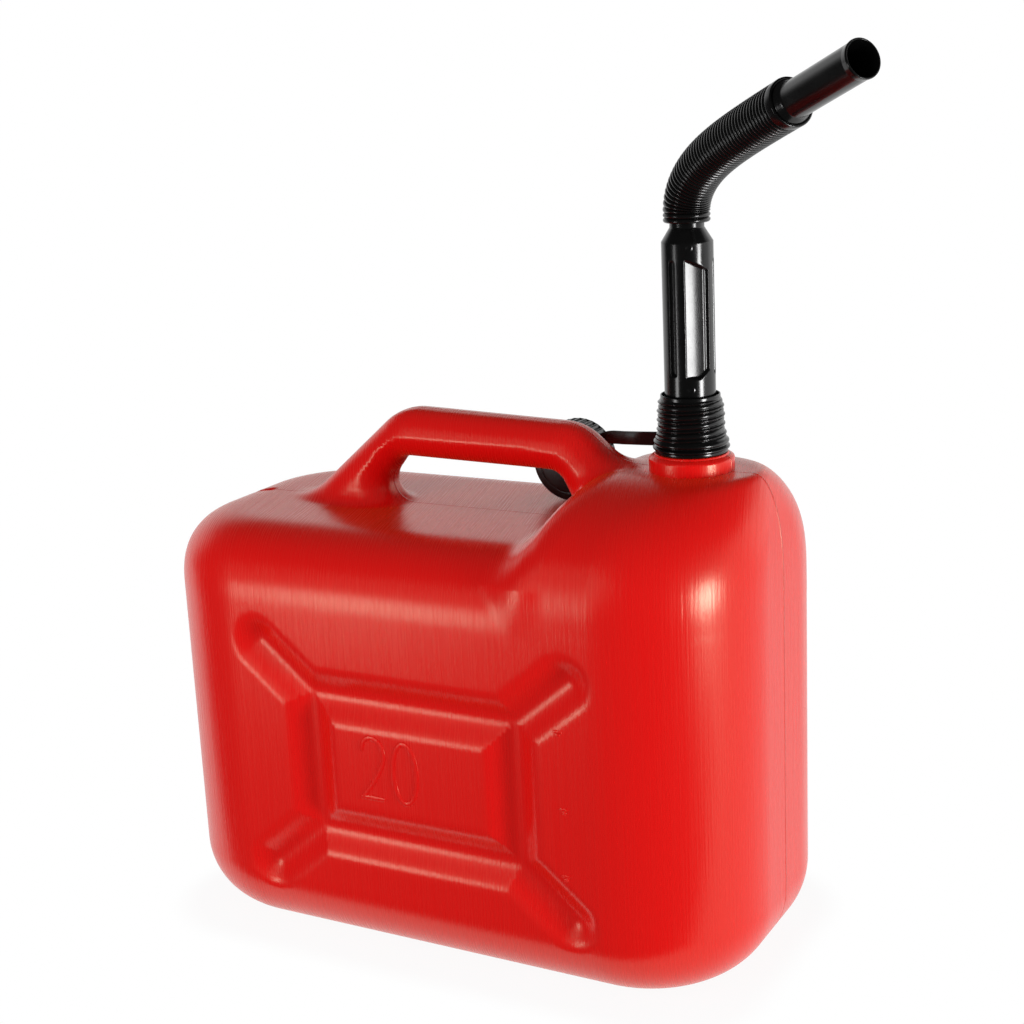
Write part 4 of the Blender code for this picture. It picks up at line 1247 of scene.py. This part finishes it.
@dataclass
class GripTube:
    """The rigid tube of the spout: flange, pocketed grip, cone and the stub that carries the hose."""

    x: float
    foot: float
    shoulder: float
    stub_top: float
    radius: float = 0.01515
    flange_radius: float = 0.0172
    flange_thickness: float = 0.0026
    bore: float = 0.0110
    cone_length: float = 0.0075
    stub_radius: float = 0.0101
    stub_bore: float = 0.0085
    pocket_heading: float = math.radians(-46.0)
    pocket_half: float = math.radians(29.0)
    pocket_foot: float = 0.3672
    pocket_top: float = 0.4373
    pocket_rise: float = 0.0042
    pocket_fall: float = 0.0062
    pocket_edge: float = 0.00035
    pocket_end: float = 0.0012
    pocket_step: float = 0.00045
    pocket_hollow: float = 0.00035
    pocket_wall: float = 0.00080
    pocket_wall_span: tuple[float, float] = (0.62, 0.92)
    pocket_rise_span: tuple[float, float] = (0.1, 1.0)
    gate_heading: float = math.radians(-64.0)
    gate_heights: tuple[float, float] = (0.3610, 0.4435)
    gate_radius: float = 0.0015
    gate_rise: float = 0.00025
    gate_edge: tuple[float, float] = (0.0002, 0.0007)
    slot_offset: float = math.radians(58.4)
    slot_half_width: float = 0.00205
    slot_foot: float = 0.3685
    slot_top: float = 0.4360
    slot_depth: float = 0.0022
    slot_edge: tuple[float, float] = (-0.0002, 0.0007)
    steps: int = 300

    def carved(self, angle: np.ndarray, height: np.ndarray) -> np.ndarray:
        """How deep the pockets and slots go at an angle and height.

        A pocket's floor is flat: at an angle a from its middle it lies at the chord's distance over
        cos a from the axis, less a small step. Its ends slant, and its walls rise over a fraction of
        a millimetre. A slot is a distance to a line of its length, less its half width.
        """
        depth = np.zeros(np.broadcast_shapes(angle.shape, height.shape))
        for side in (0.0, math.pi):
            middle = self.pocket_heading + side
            off = np.mod(angle - middle + math.pi, math.tau) - math.pi
            share = np.clip(off / self.pocket_half, -1.0, 1.0)
            chord = self.radius * math.cos(self.pocket_half)
            floor = self.radius - chord / np.maximum(np.cos(off), 0.5) + self.pocket_step
            floor = floor + self.pocket_hollow * (1.0 - share * share)
            floor = floor + self.pocket_wall * smooth_step(*self.pocket_wall_span, share)
            across = smooth_step(0.0, self.pocket_edge, (self.pocket_half - np.abs(off)) * self.radius)
            foot = self.pocket_foot + self.pocket_rise * smooth_step(*self.pocket_rise_span, share)
            top = self.pocket_top - self.pocket_fall * 0.5 * (share + 1.0)
            end = self.pocket_end
            ends = smooth_step(0.0, end, height - foot) * smooth_step(0.0, end, top - height)
            depth = np.maximum(depth, floor * across * ends)
            for offset in (-self.slot_offset, self.slot_offset):
                off = np.mod(angle - middle - offset + math.pi, math.tau) - math.pi
                low = self.slot_foot + self.slot_half_width
                high = self.slot_top - self.slot_half_width
                beyond = height - np.clip(height, low, high)
                reach = np.hypot(off * self.radius, beyond)
                sunk = smooth_step(*self.slot_edge, self.slot_half_width - reach)
                depth = np.maximum(depth, self.slot_depth * sunk)
        off = np.mod(angle - self.gate_heading + math.pi, math.tau) - math.pi
        for gate in self.gate_heights:
            reach = np.hypot(off * self.radius, height - gate)
            ring = 1.0 - smooth_step(*self.gate_edge, np.abs(reach - self.gate_radius))
            depth = depth - self.gate_rise * ring
        return depth

    def relief(self, radius: np.ndarray, height: np.ndarray, angle: np.ndarray) -> np.ndarray:
        """What the carving takes off the radius of the outer wall above the flange."""
        carved = (radius > self.radius - 0.0002) & (height > self.foot + self.flange_thickness)
        return -np.where(carved, self.carved(angle, height), 0.0)

    def build(self) -> Piece:
        """The tube as one closed surface with its pockets and slots pressed in."""
        flange_top = self.foot + self.flange_thickness
        cone_top = self.shoulder + self.cone_length
        outline = rounded(
            [
                (self.bore, self.foot, 0.0),
                (self.flange_radius, self.foot, 0.0003),
                (self.flange_radius, flange_top, 0.0003),
                (self.radius, flange_top, 0.0),
                (self.radius, self.shoulder, 0.0010),
                (self.stub_radius + 0.0004, cone_top, 0.0008),
                (self.stub_radius, cone_top + 0.0006, 0.0),
                (self.stub_radius, self.stub_top, 0.0003),
                (self.stub_bore, self.stub_top, 0.0003),
                (self.stub_bore, cone_top - 0.005, 0.0),
                (self.bore, self.shoulder - 0.005, 0.0),
            ],
            steps=5,
        )
        matrix = moved_to((self.x, 0.0, 0.0))
        return turned_piece("grip_tube_moulded", finer(outline, 0.0005), self.steps, matrix, self.relief)


@dataclass
class HoseLine:
    """The hose's middle line, which lies in an upright plane and eases from upright to its end's rise.

    Past a short straight, its rise above the level is the end's rise plus the rest of a right angle
    times exp(-distance / easing), and its place is the sum of its small steps.
    """

    x: float
    foot: float
    heading: float = math.radians(-33.0)
    length: float = 0.129
    straight: float = 0.006
    easing: float = 0.0218
    end_rise: float = math.radians(20.0)
    samples: int = 1200

    def at(self, distance: np.ndarray) -> tuple[np.ndarray, np.ndarray, np.ndarray]:
        """Places, directions and the side of the bend's inside at distances along the line.

        Args:
            distance: Distances from the foot, shape (n,).

        Returns:
            Places, unit directions and unit vectors square to them in the plane, each (n, 3).
        """
        far = max(self.length, float(np.max(distance)))
        steps = np.linspace(0.0, far, self.samples)
        rise = self.rise(0.5 * (steps[1:] + steps[:-1]))
        reach = np.concatenate(([0.0], np.cumsum(np.cos(rise) * np.diff(steps))))
        lift = np.concatenate(([0.0], np.cumsum(np.sin(rise) * np.diff(steps))))
        out = np.interp(distance, steps, reach)
        up = self.foot + np.interp(distance, steps, lift)
        level = np.array((math.cos(self.heading), math.sin(self.heading), 0.0))
        upright = np.array((0.0, 0.0, 1.0))
        origin = np.array((self.x, 0.0, 0.0))
        rise = self.rise(distance)[:, None]
        places = origin + out[:, None] * level + up[:, None] * upright
        ahead = np.cos(rise) * level + np.sin(rise) * upright
        inside = np.sin(rise) * level - np.cos(rise) * upright
        return places, ahead, inside

    def rise(self, distance: np.ndarray) -> np.ndarray:
        """The line's angle above the level at distances along it."""
        along = np.clip(distance - self.straight, 0.0, self.length - self.straight)
        return self.end_rise + (0.5 * math.pi - self.end_rise) * np.exp(-along / self.easing)

    def side(self) -> np.ndarray:
        """The unit vector square to the line's plane, shape (1, 3)."""
        return np.array([[-math.sin(self.heading), math.cos(self.heading), 0.0]])


@dataclass
class FlexHose:
    """The ribbed hose with a plain cuff at the nozzle end."""

    line: HoseLine
    ribs: int = 43
    crest_radius: float = 0.01375
    root_radius: float = 0.0123
    bore: float = 0.0114
    cuff: float = 0.0062
    cuff_bore: float = 0.0121
    samples_per_rib: int = 12
    mouth_depth: float = 0.010
    steps: int = 56

    def build(self) -> Piece:
        """The hose as one closed surface: ribs outside, rounded lips, and its bore.

        Each rib is half an ellipse: at a turn t from 0 to pi the share of the pitch is
        (1 - cos t) / 2 and the radius is the root's plus the rib's height times sin t.
        """
        ribbed = self.line.length - self.cuff
        turn = math.pi * np.arange(self.samples_per_rib) / self.samples_per_rib
        share = (np.arange(self.ribs)[:, None] + 0.5 * (1.0 - np.cos(turn))[None, :]).ravel()
        height = np.tile(np.sin(turn), self.ribs)
        rib = self.root_radius + (self.crest_radius - self.root_radius) * height
        outer = np.stack((share * ribbed / self.ribs, rib), axis=1)
        length = self.line.length
        crest = self.crest_radius
        lip = rounded(
            [
                (ribbed, self.root_radius, 0.0),
                (ribbed + 0.0005, crest - 0.0002, 0.0),
                (ribbed + 0.0012, crest, 0.0004),
                (length, crest, 0.0007),
                (length, self.cuff_bore, 0.0005),
                (ribbed + 0.0008, self.cuff_bore, 0.0003),
                (ribbed + 0.0004, self.bore, 0.0003),
                (ribbed - self.mouth_depth, self.bore, 0.0),
            ],
            steps=4,
            closed=False,
        )
        outline = np.concatenate((outer, lip[:-1], self.inner_bore(ribbed - self.mouth_depth)))
        places, _, inside = self.line.at(outline[:, 0])
        return round_tube("flex_hose_ribbed", places, inside, self.line.side(), outline[:, 1], self.steps)

    def inner_bore(self, start: float) -> np.ndarray:
        """The bore's outline from near the cuff back to the foot."""
        back = np.linspace(start, 0.0, 60)
        return np.stack((back, np.full_like(back, self.bore)), axis=1)


@dataclass
class Nozzle:
    """The smooth nozzle: a bead seated in the cuff, a straight tube and a thin lip."""

    line: HoseLine
    seated: float = 0.0084
    reach: float = 0.0612
    radius: float = 0.01025
    bore: float = 0.0092
    bead_radius: float = 0.0120
    steps: int = 96

    def build(self) -> Piece:
        """The nozzle as a closed outline of (distance, radius) turned about the line's end."""
        outline = rounded(
            [
                (-self.seated, self.bore, 0.0),
                (-self.seated, self.bead_radius, 0.0003),
                (0.0004, self.bead_radius, 0.0008),
                (0.0042, self.radius, 0.0040),
                (self.reach - 0.0042, self.radius, 0.0040),
                (self.reach - 0.0008, self.radius + 0.00045, 0.0006),
                (self.reach, self.radius + 0.0003, 0.0003),
                (self.reach, self.bore + 0.0005, 0.0002),
                (self.reach - 0.0040, self.bore, 0.0020),
            ],
            steps=5,
        )
        outline = finer(outline, 0.004)
        end, ahead, inside = self.line.at(np.array([self.line.length]))
        places = end + outline[:, 0:1] * ahead
        return round_tube("nozzle_tube_moulded", places, inside, self.line.side(), outline[:, 1], self.steps)


# The cap and its tether


@dataclass
class StorageCap:
    """The toothed cap: a skirt with grip teeth, a closed face, and the lipped boss for the ring."""

    x: float
    face_y: float
    centre_z: float
    radius: float = 0.0255
    depth: float = 0.0165
    wall: float = 0.0022
    teeth: int = 36
    tooth_depth: float = 0.0009
    tooth_steepness: float = 1.6
    steps_per_tooth: int = 12
    skirt_foot: tuple[float, float] = (0.0016, 0.0030)
    skirt_lip: float = 0.0010
    face_thickness: float = 0.0024
    boss_radius: float = 0.0192
    boss_lip: float = 0.0011
    boss_height: float = 0.0038

    def frame(self) -> np.ndarray:
        """The matrix that turns +Z to the cap's open side, towards +Y, and moves it into place."""
        matrix = moved_to((self.x, self.face_y, self.centre_z))
        matrix[:3, :3] = np.array(((1.0, 0.0, 0.0), (0.0, 0.0, 1.0), (0.0, -1.0, 0.0)))
        return matrix

    def tooth_gaps(self, radius: np.ndarray, height: np.ndarray, angle: np.ndarray) -> np.ndarray:
        """What the gaps between the teeth take off the skirt's radius.

        It is the tooth depth along a steep wave of the angle, a cosine cut off above and below, which
        fades at both ends of the skirt.
        """
        wave = np.clip(self.tooth_steepness * np.cos(self.teeth * angle), -1.0, 1.0)
        ends = smooth_step(*self.skirt_foot, height)
        ends = ends * (1.0 - smooth_step(self.depth - self.skirt_lip, self.depth, height))
        on_skirt = smooth_step(self.radius - 0.0012, self.radius - 0.0004, radius)
        return -0.5 * self.tooth_depth * (1.0 - wave) * ends * on_skirt

    def build(self) -> Piece:
        """The cap as one closed surface."""
        inner = self.radius - self.tooth_depth - self.wall
        boss_foot = -0.0024
        outline = rounded(
            [
                (0.0, -self.boss_height, 0.0),
                (self.boss_radius, -self.boss_height, 0.0004),
                (self.boss_radius + self.boss_lip, boss_foot - 0.0001, 0.0004),
                (self.boss_radius, boss_foot, 0.0),
                (self.boss_radius, 0.0, 0.0),
                (self.radius - 0.0022, 0.0, 0.0010),
                (self.radius, 0.0018, 0.0010),
                (self.radius, self.depth, 0.0006),
                (inner, self.depth, 0.0005),
                (inner, self.face_thickness, 0.0),
                (0.0, self.face_thickness, 0.0),
            ],
            steps=4,
            closed=False,
        )
        outline = finer(outline, 0.0012)
        steps = self.steps_per_tooth * self.teeth
        return turned_piece("storage_cap_toothed", outline, steps, self.frame(), self.tooth_gaps)


@dataclass
class CapTether:
    """The moulded tether: a ring on the neck, a strap on edge and a flat ring on the cap's boss."""

    neck_x: float
    ring_foot: float
    cap: StorageCap
    ring_inner: float = 0.0164
    ring_outer: float = 0.0217
    ring_thickness: float = 0.0022
    heading: float = math.radians(162.0)
    strap_width: float = 0.0085
    strap_thickness: float = 0.0018
    strap_leave: float = 0.0236
    strap_land: float = 0.0242
    landing: float = math.radians(37.0)
    route: tuple[tuple[float, float, float], ...] = (
        (0.00, 0.00, 0.00),
        (0.26, 0.23, 0.18),
        (0.55, 0.62, 0.44),
        (0.82, 0.93, 0.66),
        (1.00, 1.00, 1.00),
    )
    cap_ring_outer: float = 0.0252
    cap_ring_inner: float = 0.0197
    cap_ring_span: tuple[float, float] = (-0.0021, -0.0003)
    edge: float = 0.0005
    tab_edge: float = 0.0004

    def strap(self) -> Shape:
        """The strap: a rounded band standing on edge, carried along a smooth line through its route.

        Each point of the route is the start plus a share of the way to the end along each axis.
        """
        start = np.array((self.neck_x, 0.0, self.ring_foot + 0.5 * self.strap_width))
        start = start + self.strap_leave * np.array((math.cos(self.heading), math.sin(self.heading), 0.0))
        end = np.array((self.cap.x, self.cap.face_y - 0.0012, self.cap.centre_z))
        end = end + self.strap_land * np.array((math.cos(self.landing), 0.0, math.sin(self.landing)))
        points = start + np.array(self.route) * (end - start)
        line = FaceMarks.smooth_line(points, 14)
        ahead = np.gradient(line, axis=0)
        across = np.stack((-ahead[:, 1], ahead[:, 0], np.zeros(len(line))), axis=1)
        across /= np.linalg.norm(across, axis=1, keepdims=True)
        section = self.block(0.5 * self.strap_thickness, 0.5 * self.strap_width, self.edge, 3)
        return carried(line, across, np.array([[0.0, 0.0, 1.0]]), section, False)

    @staticmethod
    def block(u: float, v: float, edge: float, steps: int) -> np.ndarray:
        """A rectangle of half sizes u and v with rounded corners, as one section."""
        return rounded([(-u, -v, edge), (u, -v, edge), (u, v, edge), (-u, v, edge)], steps=steps)[None]

    def ring(self, inner: float, outer: float, low: float, high: float) -> Shape:
        """A flat ring about Z with rounded edges."""
        edge = self.edge
        corners = [(inner, low, edge), (outer, low, edge), (outer, high, edge), (inner, high, edge)]
        return turned(finer(rounded(corners, steps=3), 0.002), 96)

    def build(self) -> Piece:
        """The two rings, the strap and the tab that joins it to the neck's ring."""
        foot = self.ring_foot
        neck = self.ring(self.ring_inner, self.ring_outer, foot, foot + self.ring_thickness)
        neck = (placed(neck[0], moved_to((self.neck_x, 0.0, 0.0))), neck[1])
        cap_ring = self.ring(self.cap_ring_inner, self.cap_ring_outer, *self.cap_ring_span)
        cap_ring = (placed(cap_ring[0], self.cap.frame()), cap_ring[1])
        reach = np.linspace(self.ring_outer - 0.002, self.strap_leave + 0.5 * self.strap_thickness, 6)
        out = np.array([[math.cos(self.heading), math.sin(self.heading), 0.0]])
        aside = np.array([[-math.sin(self.heading), math.cos(self.heading), 0.0]])
        places = (self.neck_x, 0.0, foot + 0.5 * self.ring_thickness) + reach[:, None] * out
        section = self.block(0.5 * self.strap_width, 0.5 * self.ring_thickness, self.tab_edge, 6)
        tab = carried(places, aside, np.array([[0.0, 0.0, 1.0]]), section, False)
        return put_mesh("cap_tether_moulded", *together([neck, cap_ring, self.strap(), tab]), outward=False)


# The studio


def seated(right: Sequence, up: Sequence, back: Sequence, place: Sequence) -> Matrix:
    """The matrix of a lamp or a camera, from its own three axes and its place."""
    matrix = np.eye(4)
    matrix[:3] = np.stack((right, up, back, place), axis=1)
    return Matrix(matrix.tolist())


@dataclass(frozen=True)
class Softbox:
    """One soft oval lamp, aimed at a point, that the camera itself doesn't see."""

    name: str
    azimuth: float
    distance: float
    height: float
    size: tuple[float, float]
    radiance: float
    mirrored: bool = True
    aim: tuple[float, float, float] = (0.0, 0.0, 0.20)

    def build(self) -> Piece:
        """The lamp. Its power is its radiance times pi times its oval's area."""
        lamp = bpy.data.lights.new(self.name, "AREA")
        lamp.shape = "ELLIPSE"
        lamp.size, lamp.size_y = self.size
        area = 0.25 * math.pi * self.size[0] * self.size[1]
        lamp.energy = self.radiance * math.pi * area
        piece = bpy.data.objects.new(self.name, lamp)
        angle = math.radians(self.azimuth)
        place = np.array((self.distance * math.cos(angle), self.distance * math.sin(angle), self.height))
        away = place - np.array(self.aim)
        away /= np.linalg.norm(away)
        across = np.cross((0.0, 0.0, 1.0), away)
        across /= np.linalg.norm(across)
        piece.matrix_world = seated(across, np.cross(away, across), away, place)
        piece.visible_camera = False
        piece.visible_glossy = self.mirrored
        bpy.context.scene.collection.objects.link(piece)
        return piece


@dataclass
class Studio:
    """The floor, the lamps, the world and the camera."""

    lamps: tuple[Softbox, ...] = (
        Softbox("left_strip", -121.0, 1.23, 0.10, (0.30, 0.40), 7.0),
        Softbox("right_strip", -13.0, 1.44, 0.16, (0.36, 0.42), 30.0),
        Softbox("left_fill", -112.0, 1.4, 0.60, (1.15, 1.0), 3.3, mirrored=False),
        Softbox("right_fill", -8.0, 1.5, 0.60, (1.1, 1.0), 1.0, mirrored=False),
        Softbox("right_back_panel", 48.0, 1.9, 0.80, (1.60, 1.60), 0.5),
    )
    world_fill: float = 0.30
    dark_room: float = 0.03
    backdrop_from: float = -0.1
    backdrop_full: float = 0.3
    backdrop_top: float = 0.52
    backdrop_fade: float = 0.30
    shadow_reach: float = 0.025
    shadow_share: float = 0.07
    can_half: tuple[float, float] = (0.196, 0.106)
    foot_round: float = 0.046
    floor_half_width: float = 3.0
    floor_depth: float = 4.0
    camera_place: tuple[float, float, float] = (0.559865, -0.964171, 0.564480)
    camera_right: tuple[float, float, float] = (0.878028, 0.476401, -0.045929)
    camera_up: tuple[float, float, float] = (-0.082686, 0.245510, 0.965861)
    camera_ahead: tuple[float, float, float] = (-0.471413, 0.844255, -0.254956)
    lens: float = 63.28
    sensor_width: float = 36.0
    clip_start: float = 0.01

    def floor(self) -> Piece:
        """A pale matt floor, white to the camera and in reflections, that keeps the can's soft shadow.

        The shadow's share falls smoothly from its full value beside the can to nothing at the floor's
        near edge, by the distance from the can's rounded plan as a share of the shadow's reach.
        """
        near = -self.can_half[1] - self.shadow_reach
        far = self.floor_depth
        side = self.floor_half_width
        corners = ((-side, near, 0.0), (side, near, 0.0), (side, far, 0.0), (-side, far, 0.0))
        floor = put_mesh("floor", np.array(corners), np.array([[0, 1, 2, 3]]), outward=False)
        material, tree = empty_material("matt_white_floor")
        beyond = add_node(tree, "ShaderNodeTexCoord").outputs["Object"]
        edge = self.foot_round
        level = (self.can_half[0] - edge, self.can_half[1] - edge, 0.0)
        zero = (0.0, 0.0, 0.0)
        for operation, other in (("ABSOLUTE", zero), ("SUBTRACT", level), ("MAXIMUM", zero)):
            inputs = {0: beyond, 1: other}
            beyond = add_node(tree, "ShaderNodeVectorMath", inputs, operation=operation).outputs[0]
        length = add_node(tree, "ShaderNodeVectorMath", {0: beyond}, operation="LENGTH")
        reach = length.outputs["Value"]
        shade = mapped(tree, reach, self.shadow_share, 0.0, edge, edge + self.shadow_reach, smooth=True)
        share = maths(tree, "MULTIPLY", self.seen(tree), maths(tree, "SUBTRACT", 1.0, shade))
        paint = add_node(tree, "ShaderNodeBsdfDiffuse", {"Color": linear_colour("F4F4F4")})
        white = add_node(tree, "ShaderNodeEmission", {"Color": linear_colour("FFFFFF"), "Strength": 1.0})
        both = {0: share, 1: paint.outputs[0], 2: white.outputs[0]}
        mixed = add_node(tree, "ShaderNodeMixShader", both)
        add_node(tree, "ShaderNodeOutputMaterial", {"Surface": mixed.outputs[0]})
        floor.data.materials.append(material)
        return floor

    @staticmethod
    def seen(tree: Tree) -> Socket:
        """1 for rays that show the background itself: the camera's, mirrored and transmitted ones."""
        path = add_node(tree, "ShaderNodeLightPath").outputs
        mirrored = maths(tree, "MAXIMUM", path["Is Camera Ray"], path["Is Glossy Ray"])
        return maths(tree, "MAXIMUM", mirrored, path["Is Transmission Ray"])

    def world(self) -> None:
        """White behind the object, a dim room on the side that the photographer stood on.

        The camera sees white all round. Mirrored rays see white behind the object only, up to the
        backdrop's top, by steps in the world's own Y and Z, and diffuse light gets the dim fill.
        """
        world = bpy.data.worlds.new("studio")
        bpy.context.scene.world = world
        world.use_nodes = True
        tree = world.node_tree
        tree.nodes.clear()
        toward = add_node(tree, "ShaderNodeTexCoord").outputs["Generated"]
        apart = add_node(tree, "ShaderNodeSeparateXYZ", {0: toward}).outputs
        rear = mapped(tree, apart["Y"], 0.0, 1.0, self.backdrop_from, self.backdrop_full, smooth=True)
        below_top = mapped(tree, apart["Z"], 0.0, 1.0, self.backdrop_top, self.backdrop_fade, smooth=True)
        behind = maths(tree, "MULTIPLY", rear, below_top)
        room = mapped(tree, behind, self.dark_room, 1.0)
        path = add_node(tree, "ShaderNodeLightPath").outputs
        shown = maths(tree, "MAXIMUM", room, path["Is Camera Ray"])
        parts = {0: self.seen(tree), 2: self.world_fill, 3: shown}
        strength = add_node(tree, "ShaderNodeMix", parts, data_type="FLOAT").outputs[0]
        white = {"Color": linear_colour("FFFFFF"), "Strength": strength}
        back = add_node(tree, "ShaderNodeBackground", white)
        add_node(tree, "ShaderNodeOutputWorld", {"Surface": back.outputs[0]})

    def camera(self) -> None:
        """The camera, placed and turned as the photograph's was."""
        data = bpy.data.cameras.new("camera")
        data.lens = self.lens
        data.sensor_width = self.sensor_width
        data.clip_start = self.clip_start
        camera = bpy.data.objects.new("camera", data)
        back = -np.array(self.camera_ahead)
        camera.matrix_world = seated(self.camera_right, self.camera_up, back, self.camera_place)
        bpy.context.scene.collection.objects.link(camera)
        bpy.context.scene.camera = camera

    def build(self) -> None:
        """Everything that isn't part of the object."""
        self.floor()
        self.world()
        for lamp in self.lamps:
            lamp.build()
        self.camera()
        bpy.context.scene.view_settings.view_transform = "Standard"


# The whole can


class Jerrycan:
    """Builds every piece round the frame's nodes and hangs each one except the hose on its body."""

    def __init__(self, frame: dict) -> None:
        """Read the places that the pieces take from the frame.
        """
        self.nodes = frame["nodes"]
        gasket_low, gasket_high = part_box("spout_gasket")
        self.neck_x = 0.5 * (gasket_low.x + gasket_high.x)
        self.neck_rim = gasket_low.z - CLEARANCE
        self.red = BlowMouldedPolyethylene().material()
        self.black = InjectionMouldedPolyethylene().material()
        self.rubber = DieCutNitrile().material()

    def add(
        self, piece: Piece, material: bpy.types.Material, slot: Slot, body: str, *replaced: str
    ) -> Piece:
        """Dress a piece, hang it on its body and let it stand for its nodes.

        Args:
            piece: The piece.
            material: Its finish.
            slot: The record's slot. Not used.
            body: The body that carries it.
            *replaced: The nodes that it stands for.

        Returns:
            The piece.
        """
        dress(piece, material)
        if replaced:
            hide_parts(*replaced)
        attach(piece, body)
        LOG.info("%s on %s: %d faces", piece.name, body, len(piece.data.polygons))
        return piece

    def can(self) -> None:
        """The red can with its neck and marks."""
        skin = CanSkin()
        ledge = self.ring_foot() - CLEARANCE
        self.add(skin.build(), self.red, Slot.RED, "can", "can_body")
        neck = Neck(self.neck_x, self.neck_rim, ledge, skin.shoulder_top)
        self.add(neck.build(), self.red, Slot.RED, "can")
        self.add(FaceMarks(-0.5 * skin.width).build(), self.red, Slot.RED, "can")

    def ring_foot(self) -> float:
        """The height of the tether ring's lower face, which the screw collar's foot stands above."""
        collar_low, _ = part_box("screw_collar")
        return collar_low.z - CapTether.ring_thickness - CLEARANCE

    def spout(self) -> None:
        """The screw collar, the grip tube, the ribbed hose and the nozzle."""
        collar_low, collar_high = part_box("screw_collar")
        collar = ScrewCollar(self.neck_x, collar_low.z, collar_high.z + RIM_RISE)
        self.add(collar.build(), self.black, Slot.BLACK, "collar", "screw_collar")
        tube_low, tube_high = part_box("grip_tube")
        shoulder = tube_high.z - STUB_LENGTH - GripTube.cone_length
        tube = GripTube(self.neck_x, tube_low.z, shoulder, tube_high.z)
        self.add(tube.build(), self.black, Slot.BLACK, "spout", "grip_tube")
        line = HoseLine(self.neck_x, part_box("flex_hose")[0].z)
        hose = FlexHose(line).build()
        dress(hose, self.black)
        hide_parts("flex_hose")
        start, end = line.at(np.array([BLEND_INSET, line.length - BLEND_INSET]))[0]
        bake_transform(hose)
        LOG.info("%s between spout and nozzle: %d faces", hose.name, len(hose.data.polygons))
        self.add(Nozzle(line).build(), self.black, Slot.BLACK, "nozzle", "nozzle_tube")

    def tether(self) -> None:
        """The cap and the tether that holds it."""
        low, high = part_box("storage_cap")
        cap = StorageCap(0.5 * (low.x + high.x), high.y - StorageCap.depth, 0.5 * (low.z + high.z))
        self.add(cap.build(), self.black, Slot.BLACK, "cap", "storage_cap")
        tether = CapTether(self.neck_x, self.ring_foot(), cap)
        self.add(tether.build(), self.black, Slot.BLACK, "tether", "cap_tether")

    def seals(self) -> None:
        """The two rubber seals, whose CAD solids are right and only get their finish."""
        for name in ("spout_gasket", "cap_liner"):
            dress(self.nodes[name], self.rubber)
            LOG.info("%s keeps its CAD solid", name)


def main() -> None:
    """Build the can and its studio."""
    logging.basicConfig(level=logging.INFO, format="%(name)s: %(message)s")
    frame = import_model()
    can = Jerrycan(frame)
    can.can()
    can.spout()
    can.tether()
    can.seals()
    Studio().build()


if __name__ == "__main__":
    main()
